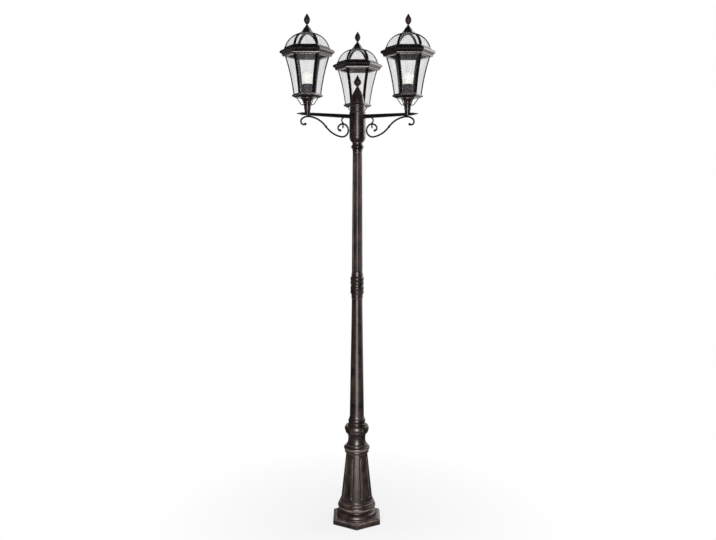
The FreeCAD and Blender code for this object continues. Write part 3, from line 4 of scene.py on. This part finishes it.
import bmesh
import bpy
from mathutils import Matrix, Vector


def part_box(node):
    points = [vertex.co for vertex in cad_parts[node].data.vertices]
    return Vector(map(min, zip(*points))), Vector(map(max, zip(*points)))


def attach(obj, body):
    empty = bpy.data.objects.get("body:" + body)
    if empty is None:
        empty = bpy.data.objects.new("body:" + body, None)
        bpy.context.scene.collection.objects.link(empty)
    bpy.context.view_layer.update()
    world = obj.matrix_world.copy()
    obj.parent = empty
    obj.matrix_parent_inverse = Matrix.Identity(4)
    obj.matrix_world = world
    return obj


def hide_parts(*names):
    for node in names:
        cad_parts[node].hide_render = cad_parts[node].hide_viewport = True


# The looks of a garden lamp post with three six-sided lanterns. Metres, +Z up, front -Y.

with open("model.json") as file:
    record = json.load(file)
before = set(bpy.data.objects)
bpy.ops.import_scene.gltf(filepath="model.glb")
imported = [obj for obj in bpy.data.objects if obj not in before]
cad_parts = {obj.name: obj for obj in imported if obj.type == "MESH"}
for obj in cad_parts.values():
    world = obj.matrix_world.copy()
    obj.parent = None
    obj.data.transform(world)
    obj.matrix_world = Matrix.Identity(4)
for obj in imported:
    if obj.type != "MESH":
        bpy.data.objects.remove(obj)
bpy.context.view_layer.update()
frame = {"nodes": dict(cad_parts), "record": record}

# ---- Camera, fitted to the photograph
CAMERA_PLACE = (0.0, -3.1496, 1.4227)
CAMERA_PITCH_DOWN = 6.1
CAMERA_YAW = -0.064
CAMERA_ROLL = 0.127
CAMERA_LENS = 38.0
CAMERA_SENSOR = 36.0

# ---- Places of the three lanterns, and the body that stands still
PLACES = ("rear", "left", "right")
POST = "post"

# ---- Finials: outlines as (radius, height, swell of the stretch below) in shares of the bud's size
LANTERN_BUD = ((0.333, 0.0, 0.0), (0.292, 0.063, -0.042), (1.0, 0.418, 0.158), (0.567, 0.755, 0.108),
               (0.033, 1.0, 0.042))
LANTERN_BUD_HEIGHT = 0.0445
HUB_BUD = ((0.309, 0.0, 0.0), (0.349, 0.088, -0.033), (1.0, 0.364, 0.118), (0.618, 0.628, 0.092),
           (0.026, 1.0, 0.0))
HUB_BUD_HEIGHT = 0.050
BUD_STEPS = 14
LANTERN_STUD_R = 0.0025
HUB_STUD_R = 0.0030
NUT_R = 0.0065
NUT_HEIGHT = 0.0040
STUD_BELOW_NUT = 0.0020

# ---- Leaves on the buds; a row is (foot, tip, turn in leaves, how far it stands proud)
LEAF_COUNT = 6
LEAF_ROWS = ((0.05, 0.56, 0.0, 0.00045), (0.28, 0.98, 0.5, 0.0))
LEAF_GROOVE = 0.0012
LEAF_RIDGE = 0.0004
LEAF_WIDEST_LOW = 0.75
LEAF_FULLNESS = 0.8
LEAF_EDGE_STEEPNESS = 4
LEAF_RIDGE_STEEPNESS = 5

# ---- Lampholder, with ribs in two bands from (low) to (high) above its foot
GRIP_RIBS = 14
GRIP_DEPTH = 0.0018
GRIP_BANDS = ((0.0020, 0.0250), (0.0310, 0.0500))
GRIP_FADE = 0.0008
SEGMENTS_PER_RIB = 12
HOLDER_ENTRY_R = 0.00515
HOLDER_ENTRY_HEIGHT = 0.0115
HOLDER_SOCKET_R = 0.0136
HOLDER_SOCKET_HEIGHT = 0.0245
HOLDER_EDGE = 0.0015

# ---- Bulb cap, as (radius, height) up to its thread
CAP_FOOT = ((0.0045, 0.0), (0.0065, 0.0015), (0.0112, 0.0030))
THREAD_LOW = 0.0060
THREAD_HIGH = 0.0210
THREAD_PITCH = 0.0036
THREAD_DEPTH = 0.0009
THREAD_STEP = 0.00045

SEGMENTS = 96
NUT_SIDES = 6
SHARP_ANGLE = 38.0

# ---- Paint colours, as linear light
PAINT_DARK = (0.0030, 0.0021, 0.0021, 1)
PAINT_BROWN = (0.0500, 0.0285, 0.0240, 1)
PAINT_DEEP = (0.0022, 0.0016, 0.0016, 1)
PAINT_DEEP_BROWN = (0.0060, 0.0034, 0.0032, 1)
# the pinkish brown of worn edges, also painted on rings of the post as a highlight
PAINT_RUB_AND_HIGHLIGHT = (0.36, 0.265, 0.245, 1)
PAINT_SHINE = (1.0, 0.92, 0.87, 1)
WHITE = (1, 1, 1, 1)
PAINT_IOR = 1.80

# ---- Rings of the post that are rubbed all round and carry a painted highlight, as (height, half width, how much)
RUB_AND_HIGHLIGHT_RINGS = (
    (0.0212, 0.0046, 0.60),
    (0.0645, 0.0065, 0.85),
    (0.0850, 0.0018, 0.50),
    (0.3205, 0.0055, 0.80),
)

# ---- The two paints: (dark, brown, edge wear, wear radius, roughness from and to, rings rubbed and with a painted highlight)
BROWN_PAINT = (PAINT_DARK, PAINT_BROWN, 0.70, 0.0024, (0.27, 0.36), RUB_AND_HIGHLIGHT_RINGS)
FRESH_BROWN_PAINT = (PAINT_DEEP, PAINT_DEEP_BROWN, 0.20, 0.0015, (0.17, 0.25), ())

# ---- Nodes in the fresh paint, whose edges are hardly rubbed, by the start of their names
FRESH_PAINT = "fresh_brown_paint"
FRESH_NODES = ("lantern_cage", "lantern_pan_", "roof_frame", "roof_cap", "arm_", "scroll", "stem_braces")

# ---- Patterns: a NOISE is (scale, detail), a SPAN the stretch of it that makes the whole change,
# ---- and a BUMP (strength, distance)
MIDDLE_SPAN = (0.3, 0.7)
EDGE_SAMPLES = 6
EDGE_SPAN = (0.008, 0.09)
PATCH_NOISE = (38.0, 4.0)
PATCH_SPAN = (0.34, 0.58)
PATCH_LEAST = 0.40
MOTTLE_NOISE = (26.0, 5.0)
MOTTLE_SPAN = (0.35, 0.68)
SHEEN_NOISE = (48.0, 4.0)
GRAIN_NOISE = (520.0, 2.0)
GRAIN_SHARE = 0.35
SWELL_NOISE = (75.0, 3.0)
PAINT_BUMP = (0.09, 0.0008)

# ---- Pane glass
STREAK_NOISE = (60.0, 3.0)
STREAK_STRETCH = (1.0, 1.0, 0.16)
PIMPLE_NOISE = (240.0, 2.0)
PIMPLE_SHARE = 0.4
VEIL_NOISE = (11.0, 2.0)
VEIL_LILAC = (0.15, 0.14, 0.185, 1)
VEIL_GREY = (0.17, 0.18, 0.19, 1)
CLOUD_PIMPLES = 0.5
CLOUD_SPAN = (0.55, 0.95)
CLOUD_ALPHA = (0.05, 0.13)
GLASS_ROUGHNESS = (0.14, 0.26)
GLASS_IOR = 1.45
GLASS_BUMP = (0.30, 0.0012)

# ---- Plain finishes, as (colour, colour of the blotches, roughness, bump strength, other inputs)
BLOTCH_NOISE = (60.0, 3.0)
FINE_NOISE = (700.0, 2.0)
SMOOTHER = 0.06
ROUGHER = 0.08
PLAIN_BUMP = 0.12
PLAIN_BUMP_DISTANCE = 0.0004
PLAIN_FINISHES = {
    "bulb_opal": ((0.88, 0.87, 0.82, 1), (0.91, 0.90, 0.86, 1), 0.22, 0.02, {
        "Subsurface Weight": 0.35,
        "Subsurface Radius": (0.01, 0.01, 0.01),
        "Subsurface Scale": 0.5,
        # a painted glow: the opal glass gives off a faint light of its own in place of lamp light
        # falling on it
        "Emission Strength": 0.42,
        "Emission Color": (0.98, 1.0, 0.94, 1),
    }),
    "holder_plastic": ((0.010, 0.009, 0.011, 1), (0.018, 0.016, 0.020, 1), 0.42, PLAIN_BUMP, {
        "IOR": 1.36,
    }),
    "bulb_metal": ((0.66, 0.65, 0.63, 1), (0.78, 0.77, 0.75, 1), 0.28, PLAIN_BUMP, {"Metallic": 1.0}),
    "steel": ((0.40, 0.39, 0.37, 1), (0.56, 0.55, 0.52, 1), 0.33, PLAIN_BUMP, {"Metallic": 1.0}),
    "terminal_plastic": ((0.72, 0.70, 0.64, 1), (0.80, 0.78, 0.73, 1), 0.45, PLAIN_BUMP, {}),
    "lead_rubber": ((0.020, 0.019, 0.018, 1), (0.045, 0.043, 0.040, 1), 0.62, PLAIN_BUMP, {}),
}

# ---- Floor: half its width, its finish, and how its shadow fades with the distance from the post
FLOOR_REACH = 40.0
FLOOR_COLOUR = (0.86, 0.86, 0.86, 1)
FLOOR_ROUGHNESS = 0.9
SHADOW_NEAR = 0.12
SHADOW_FAR = 0.9
FLOOR_GLOW_NEAR = 0.80

# ---- Lamps, as (name, place, aim, width, height, brightness of the surface)
SOFTBOXES = (
    ("front_softbox", (-0.05, -3.5, 1.20), (0, 0, 1.20), 0.9, 1.6, 12.0),
    ("low_softbox", (0.03, -1.05, 0.32), (0, 0, -0.53), 0.55, 0.72, 3.2),
    ("right_softbox", (2.6, 1.40, 2.50), (0, 0, 1.95), 1.6, 1.6, 2.8),
)

# ---- Studio: the world's own light, and what reflections show of it
WORLD_LIGHT = 0.30
ROOM_BRIGHTNESS = 0.05
BACKDROP_LEAN = 0.45
ROOM_EDGE = 0.78
BACKDROP_EDGE = 0.92
FLOOR_ROOM_EDGE = 2.4
FLOOR_BACKDROP_EDGE = 3.4


# ---------------------------------------------------------------- materials

class Nodes:
    """Short ways to add and join the nodes of one material or world."""

    def __init__(self, owner):
        owner.use_nodes = True
        self.tree = owner.node_tree
        self.tree.nodes.clear()

    def add(self, kind, inputs=None, **settings):
        """A node whose inputs are values or the outputs of other nodes."""
        made = self.tree.nodes.new("ShaderNode" + kind)
        for name, value in settings.items():
            setattr(made, name, value)
        for name, value in (inputs or {}).items():
            if isinstance(value, bpy.types.NodeSocket):
                self.tree.links.new(value, made.inputs[name])
            else:
                made.inputs[name].default_value = value
        return made

    def place(self):
        return self.add("TexCoord").outputs["Object"]

    def noise(self, scale, detail=3.0, place=None):
        inputs = {"Vector": place or self.place(), "Scale": scale, "Detail": detail}
        return self.add("TexNoise", inputs).outputs["Fac"]

    def mapped(self, value, low, high, to_low=0.0, to_high=1.0):
        inputs = {"Value": value, "From Min": low, "From Max": high, "To Min": to_low, "To Max": to_high}
        return self.add("MapRange", inputs).outputs["Result"]

    def math(self, operation, first, second=0.0):
        return self.add("Math", {0: first, 1: second}, operation=operation).outputs[0]

    def mixed(self, share, first, second):
        return self.add("Mix", {"Factor": share, 6: first, 7: second}, data_type="RGBA").outputs[2]

    def bump(self, height, strength, distance):
        inputs = {"Height": height, "Strength": strength, "Distance": distance}
        return self.add("Bump", inputs).outputs["Normal"]

    def finish(self, shader, kind="OutputMaterial"):
        self.add(kind, {"Surface": shader})


def new_material(name):
    made = bpy.data.materials.new(name)
    return made, Nodes(made)


def stretched(n, factors):
    """Object coordinates with each axis multiplied, so that a pattern runs along one of them."""
    return n.add("Mapping", {"Vector": n.place(), "Scale": factors}).outputs["Vector"]


def worn_edges(n, radius):
    """1 beside edges, inner corners too, and 0 on flat faces away from them."""
    bevel = n.add("Bevel", {"Radius": radius}, samples=EDGE_SAMPLES).outputs["Normal"]
    flat = n.add("NewGeometry").outputs["Normal"]
    same = n.add("VectorMath", {0: bevel, 1: flat}, operation="DOT_PRODUCT").outputs["Value"]
    turned_away = n.math("SUBTRACT", 1.0, same)
    return n.mapped(turned_away, *EDGE_SPAN)


def rub_and_highlight_mask(n, rings):
    """1 at the crest of each ring, 0 away from them, by height alone: worn paint together with a painted
    highlight.
    """
    height = n.add("SeparateXYZ", {"Vector": n.place()}).outputs["Z"]
    most = 0.0
    for crest, half_width, share in rings:
        away = n.math("ABSOLUTE", n.math("SUBTRACT", height, crest))
        most = n.math("MAXIMUM", n.mapped(away, 0.0, half_width, share, 0.0), most)
    return most


def paint_material(name, dark, brown, wear, wear_radius, roughness_range, rings):
    """Dark brown satin paint on cast metal, worn to a pinkish brown along its edges, with the same
    pinkish brown painted on some rings as a highlight.
    """
    made, n = new_material(name)
    edge = n.math("MULTIPLY", worn_edges(n, wear_radius), wear)
    # the rings add worn paint and a painted highlight, by height alone
    if rings:
        edge = n.math("MAXIMUM", edge, rub_and_highlight_mask(n, rings))
    patchy = n.mapped(n.noise(*PATCH_NOISE), *PATCH_SPAN, PATCH_LEAST, 1.0)
    rub_and_highlight = n.math("MULTIPLY", edge, patchy)
    mottled = n.mapped(n.noise(*MOTTLE_NOISE), *MOTTLE_SPAN)
    body = n.mixed(mottled, dark, brown)
    # worn edges and the rings' painted highlight, in one pinkish brown
    colour = n.mixed(rub_and_highlight, body, PAINT_RUB_AND_HIGHLIGHT)
    roughness = n.mapped(n.noise(*SHEEN_NOISE), *MIDDLE_SPAN, *roughness_range)
    grain = n.noise(*GRAIN_NOISE)
    swell = n.noise(*SWELL_NOISE)
    height = n.math("ADD", n.math("MULTIPLY", grain, GRAIN_SHARE), swell)
    shader = n.add("BsdfPrincipled", {
        "Base Color": colour,
        "Roughness": roughness,
        "Normal": n.bump(height, *PAINT_BUMP),
        "IOR": PAINT_IOR,
        "Specular Tint": PAINT_SHINE,
    })
    n.finish(shader.outputs["BSDF"])
    return made


def glass_material():
    """Thin hazy glass: mostly see-through, with a pale veil and a fine uneven surface."""
    made, n = new_material("pane_glass")
    streaks = n.noise(*STREAK_NOISE, stretched(n, STREAK_STRETCH))
    pimple = n.noise(*PIMPLE_NOISE)
    height = n.math("ADD", streaks, n.math("MULTIPLY", pimple, PIMPLE_SHARE))
    veil = n.mixed(n.mapped(n.noise(*VEIL_NOISE), *MIDDLE_SPAN), VEIL_LILAC, VEIL_GREY)
    cloud = n.math("ADD", streaks, n.math("MULTIPLY", pimple, CLOUD_PIMPLES))
    shader = n.add("BsdfPrincipled", {
        "Base Color": veil,
        "Roughness": n.mapped(pimple, *MIDDLE_SPAN, *GLASS_ROUGHNESS),
        "Alpha": n.mapped(cloud, *CLOUD_SPAN, *CLOUD_ALPHA),
        "IOR": GLASS_IOR,
        "Normal": n.bump(height, *GLASS_BUMP),
    })
    n.finish(shader.outputs["BSDF"])
    return made


def plain_material(name, colour, other, roughness, bump, inputs):
    """A finish with a slight change of colour, roughness and height over its surface."""
    made, n = new_material(name)
    blotch = n.mapped(n.noise(*BLOTCH_NOISE), *MIDDLE_SPAN)
    grain = n.noise(*FINE_NOISE)
    shader = n.add("BsdfPrincipled", {
        "Base Color": n.mixed(blotch, colour, other),
        "Roughness": n.mapped(grain, *MIDDLE_SPAN, roughness - SMOOTHER, roughness + ROUGHER),
        "Normal": n.bump(grain, bump, PLAIN_BUMP_DISTANCE),
        **inputs,
    })
    n.finish(shader.outputs["BSDF"])
    return made


def make_materials():
    materials = {
        "brown_paint": paint_material("brown_paint", *BROWN_PAINT),
        FRESH_PAINT: paint_material(FRESH_PAINT, *FRESH_BROWN_PAINT),
        "pane_glass": glass_material(),
    }
    for name, finish in PLAIN_FINISHES.items():
        materials[name] = plain_material(name, *finish)
    return materials


# ---------------------------------------------------------------- pieces

def finished_piece(name, mesh, body, slot, materials, node):
    """Makes an object of the mesh that stands for a node, on the node's body."""
    data = bpy.data.meshes.new(name)
    mesh.to_mesh(data)
    mesh.free()
    for polygon in data.polygons:
        polygon.use_smooth = True
    data.set_sharp_from_angle(angle=math.radians(SHARP_ANGLE))
    data.materials.append(materials[slot])
    made = bpy.data.objects.new(name, data)
    bpy.context.scene.collection.objects.link(made)
    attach(made, body)
    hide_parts(node)


def node_place(node):
    """The axis, radius, foot and top of an upright node."""
    low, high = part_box(node)
    centre = ((low[0] + high[0]) / 2, (low[1] + high[1]) / 2)
    return centre, (high[0] - low[0]) / 2, low[2], high[2]


def swept(start, end, bulge, steps):
    """Points from one outline point to the next along a shallow arc, without the first."""
    run = Vector(end) - Vector(start)
    side = Vector((run.y, -run.x)).normalized()
    points = []
    for n in range(1, steps + 1):
        t = n / steps
        points.append(Vector(start) + run * t + side * bulge * 4 * t * (1 - t))
    return points


def no_relief(angle, radius, height):
    return 0.0


def add_turned(mesh, centre, outline, segments=SEGMENTS, relief=no_relief):
    """Adds a closed turned surface; relief(angle, radius, height) is added to each radius."""
    rings = []
    for radius, height in outline:
        ring = []
        for n in range(segments):
            angle = 2 * math.pi * n / segments
            r = radius + relief(angle, radius, height)
            x = centre[0] + r * math.cos(angle)
            y = centre[1] + r * math.sin(angle)
            ring.append(mesh.verts.new((x, y, height)))
        rings.append(ring)
    for low, high in zip(rings, rings[1:]):
        for n in range(segments):
            after = (n + 1) % segments
            mesh.faces.new((low[n], low[after], high[after], high[n]))
    mesh.faces.new(list(reversed(rings[0])))
    mesh.faces.new(rings[-1])


def leaf_height(angle, share):
    """Two rows of pointed leaves: deep between the leaves, raised along their middles."""
    height = -LEAF_GROOVE
    for foot, tip, offset, proud in LEAF_ROWS:
        along = (share - foot) / (tip - foot)
        if not 0 < along < 1:
            continue
        half_width = math.sin(math.pi * along ** LEAF_WIDEST_LOW) ** LEAF_FULLNESS
        turn = (angle * LEAF_COUNT / (2 * math.pi) + offset) % 1.0
        across = abs(turn - 0.5) * 2
        if across < half_width:
            inside = 1 - (across / half_width) ** LEAF_EDGE_STEEPNESS
            ridge = LEAF_RIDGE * max(0.0, 1 - LEAF_RIDGE_STEEPNESS * across)
            height = max(height, (LEAF_GROOVE + proud) * inside - LEAF_GROOVE + ridge)
    return height


def bud_outline(shares, radius, low, height):
    outline = [(shares[0][0] * radius, low)]
    for (r0, h0, b0), (r1, h1, bulge) in zip(shares, shares[1:]):
        start = (r0 * radius, low + h0 * height)
        end = (r1 * radius, low + h1 * height)
        outline += [tuple(point) for point in swept(start, end, bulge * radius, BUD_STEPS)]
    return outline


def add_leafed_bud(mesh, centre, shares, radius, low, height):
    def relief(angle, r, z):
        return leaf_height(angle, (z - low) / height) * r / radius

    add_turned(mesh, centre, bud_outline(shares, radius, low, height), relief=relief)


def add_rod(mesh, centre, radius, low, high, segments=SEGMENTS):
    add_turned(mesh, centre, ((radius, low), (radius, high)), segments)


def make_lantern_finial(place, materials):
    """A leafed bud with its stud and the nut inside the dome."""
    node = "lantern_finial_" + place
    centre, radius, foot, top = node_place(node)
    low = top - LANTERN_BUD_HEIGHT
    mesh = bmesh.new()
    add_leafed_bud(mesh, centre, LANTERN_BUD, radius, low, LANTERN_BUD_HEIGHT)
    add_rod(mesh, centre, LANTERN_STUD_R, foot, low)
    nut_foot = foot + STUD_BELOW_NUT
    add_rod(mesh, centre, NUT_R, nut_foot, nut_foot + NUT_HEIGHT, NUT_SIDES)
    finished_piece("leafed_finial_" + place, mesh, "roof_" + place, "brown_paint", materials, node)


def make_hub_finial(materials):
    centre, radius, foot, top = node_place("hub_finial")
    low = top - HUB_BUD_HEIGHT
    mesh = bmesh.new()
    add_leafed_bud(mesh, centre, HUB_BUD, radius, low, HUB_BUD_HEIGHT)
    add_rod(mesh, centre, HUB_STUD_R, foot, low)
    finished_piece("leafed_hub_finial", mesh, "hub_top", "brown_paint", materials, "hub_finial")


def make_lampholder(place, materials):
    """A moulded lampholder with two ribbed bands, open at its top for the bulb."""
    node = "lampholder_" + place
    centre, radius, foot, top = node_place(node)

    def relief(angle, r, z):
        if r < radius:
            return 0.0
        inside = max(min(z - foot - low, foot + high - z) for low, high in GRIP_BANDS)
        share = min(1.0, max(0.0, inside / GRIP_FADE))
        return -GRIP_DEPTH * share * (0.5 - 0.5 * math.cos(GRIP_RIBS * angle))

    outline = [(HOLDER_ENTRY_R, foot + HOLDER_ENTRY_HEIGHT), (HOLDER_ENTRY_R, foot), (radius, foot)]
    for low, high in GRIP_BANDS:
        for z in (low, low + GRIP_FADE, high - GRIP_FADE, high):
            outline.append((radius, foot + z))
    outline += [
        (radius - HOLDER_EDGE, top),
        (HOLDER_SOCKET_R, top),
        (HOLDER_SOCKET_R, foot + HOLDER_SOCKET_HEIGHT),
    ]
    mesh = bmesh.new()
    add_turned(mesh, centre, outline, SEGMENTS_PER_RIB * GRIP_RIBS, relief)
    finished_piece("ribbed_lampholder_" + place, mesh, POST, "holder_plastic", materials, node)


def make_bulb_cap(place, materials):
    """A screw cap with one rolled thread."""
    node = "bulb_cap_" + place
    centre, radius, foot, top = node_place(node)

    def relief(angle, r, z):
        if r < radius:
            return 0.0
        share = min(1.0, max(0.0, min(z - foot - THREAD_LOW, foot + THREAD_HIGH - z) / THREAD_PITCH))
        wave = math.cos(2 * math.pi * (z - foot) / THREAD_PITCH - angle)
        return -THREAD_DEPTH * share * (0.5 - 0.5 * wave)

    outline = [(r, foot + z) for r, z in CAP_FOOT]
    steps = round((THREAD_HIGH - THREAD_LOW) / THREAD_STEP)
    outline += [(radius, foot + THREAD_LOW + n * THREAD_STEP) for n in range(steps + 1)]
    outline.append((radius, top))
    mesh = bmesh.new()
    add_turned(mesh, centre, outline, relief=relief)
    finished_piece("threaded_bulb_cap_" + place, mesh, "bulb_" + place, "bulb_metal", materials, node)


# ---------------------------------------------------------------- stage, light and camera

def backwards(n, vector):
    """How far a place or direction lies to the back, with a lean to the right."""
    parts = n.add("SeparateXYZ", {"Vector": vector})
    return n.math("ADD", parts.outputs["Y"], n.math("MULTIPLY", parts.outputs["X"], BACKDROP_LEAN))


def make_floor():
    mesh = bmesh.new()
    corners = [(-FLOOR_REACH, -FLOOR_REACH), (FLOOR_REACH, -FLOOR_REACH),
               (FLOOR_REACH, FLOOR_REACH), (-FLOOR_REACH, FLOOR_REACH)]
    mesh.faces.new([mesh.verts.new((x, y, 0)) for x, y in corners])
    data = bpy.data.meshes.new("floor")
    mesh.to_mesh(data)
    mesh.free()
    floor = bpy.data.objects.new("floor", data)
    bpy.context.scene.collection.objects.link(floor)
    made, n = new_material("floor_white")
    distance = n.add("VectorMath", {0: n.place()}, operation="LENGTH").outputs["Value"]
    far = n.mapped(distance, SHADOW_NEAR, SHADOW_FAR, FLOOR_GLOW_NEAR, 1.0)
    backdrop = n.mapped(backwards(n, n.place()), FLOOR_ROOM_EDGE, FLOOR_BACKDROP_EDGE,
                        ROOM_BRIGHTNESS, 1.0)
    rays = n.add("LightPath")
    direct = n.math("MAXIMUM", rays.outputs["Is Camera Ray"], rays.outputs["Is Transmission Ray"])
    seen = n.math("MAXIMUM", direct, rays.outputs["Is Glossy Ray"])
    plain = n.add("BsdfPrincipled", {"Base Color": FLOOR_COLOUR, "Roughness": FLOOR_ROUGHNESS})
    glow = n.add("Emission", {"Color": WHITE, "Strength": n.math("MAXIMUM", direct, backdrop)})
    share = n.math("MULTIPLY", far, seen)
    n.finish(n.add("MixShader", {0: share, 1: plain.outputs[0], 2: glow.outputs[0]}).outputs[0])
    data.materials.append(made)


def make_world():
    """White to look at; in reflections, a white backdrop behind the object and a dim room elsewhere."""
    world = bpy.data.worlds.new("studio")
    bpy.context.scene.world = world
    n = Nodes(world)
    rays = n.add("LightPath")
    direct = n.math("MAXIMUM", rays.outputs["Is Camera Ray"], rays.outputs["Is Transmission Ray"])
    seen = n.math("MAXIMUM", direct, rays.outputs["Is Glossy Ray"])
    direction = n.add("TexCoord").outputs["Generated"]
    backdrop = n.mapped(backwards(n, direction), ROOM_EDGE, BACKDROP_EDGE, ROOM_BRIGHTNESS, 1.0)
    light = n.add("Background", {"Color": WHITE, "Strength": WORLD_LIGHT})
    shown = n.add("Background", {"Color": WHITE, "Strength": n.math("MAXIMUM", direct, backdrop)})
    mixed = n.add("MixShader", {0: seen, 1: light.outputs[0], 2: shown.outputs[0]})
    n.add("OutputWorld", {"Surface": mixed.outputs[0]})


def add_softbox(name, place, aim, width, height, brightness):
    """A rectangular lamp that the camera doesn't see; the brightness is that of its surface."""
    data = bpy.data.lights.new(name, "AREA")
    data.shape = "RECTANGLE"
    data.size = width
    data.size_y = height
    data.energy = brightness * math.pi * width * height
    light = bpy.data.objects.new(name, data)
    light.location = place
    light.rotation_euler = (Vector(aim) - Vector(place)).to_track_quat("-Z", "Y").to_euler()
    light.visible_camera = False
    bpy.context.scene.collection.objects.link(light)


def make_lights():
    for softbox in SOFTBOXES:
        add_softbox(*softbox)


def make_camera():
    data = bpy.data.cameras.new("photo_camera")
    data.lens = CAMERA_LENS
    data.sensor_width = CAMERA_SENSOR
    camera = bpy.data.objects.new("photo_camera", data)
    yaw = Matrix.Rotation(math.radians(CAMERA_YAW), 4, "Z")
    pitch = Matrix.Rotation(math.radians(90.0 - CAMERA_PITCH_DOWN), 4, "X")
    roll = Matrix.Rotation(math.radians(CAMERA_ROLL), 4, "Z")
    camera.matrix_world = Matrix.Translation(CAMERA_PLACE) @ yaw @ pitch @ roll
    bpy.context.scene.collection.objects.link(camera)
    bpy.context.scene.camera = camera


def main():
    scene = bpy.context.scene
    scene.view_settings.view_transform = "Standard"
    make_camera()
    make_world()
    make_lights()
    make_floor()
    materials = make_materials()
    for subpart in frame["record"]["subparts"]:
        node = frame["nodes"][subpart["node"]]
        finish = FRESH_PAINT if subpart["node"].startswith(FRESH_NODES) else subpart["material_slot"]
        node.data.materials.clear()
        node.data.materials.append(materials[finish])
    make_hub_finial(materials)
    for place in PLACES:
        make_lantern_finial(place, materials)
        make_lampholder(place, materials)
        make_bulb_cap(place, materials)


main()
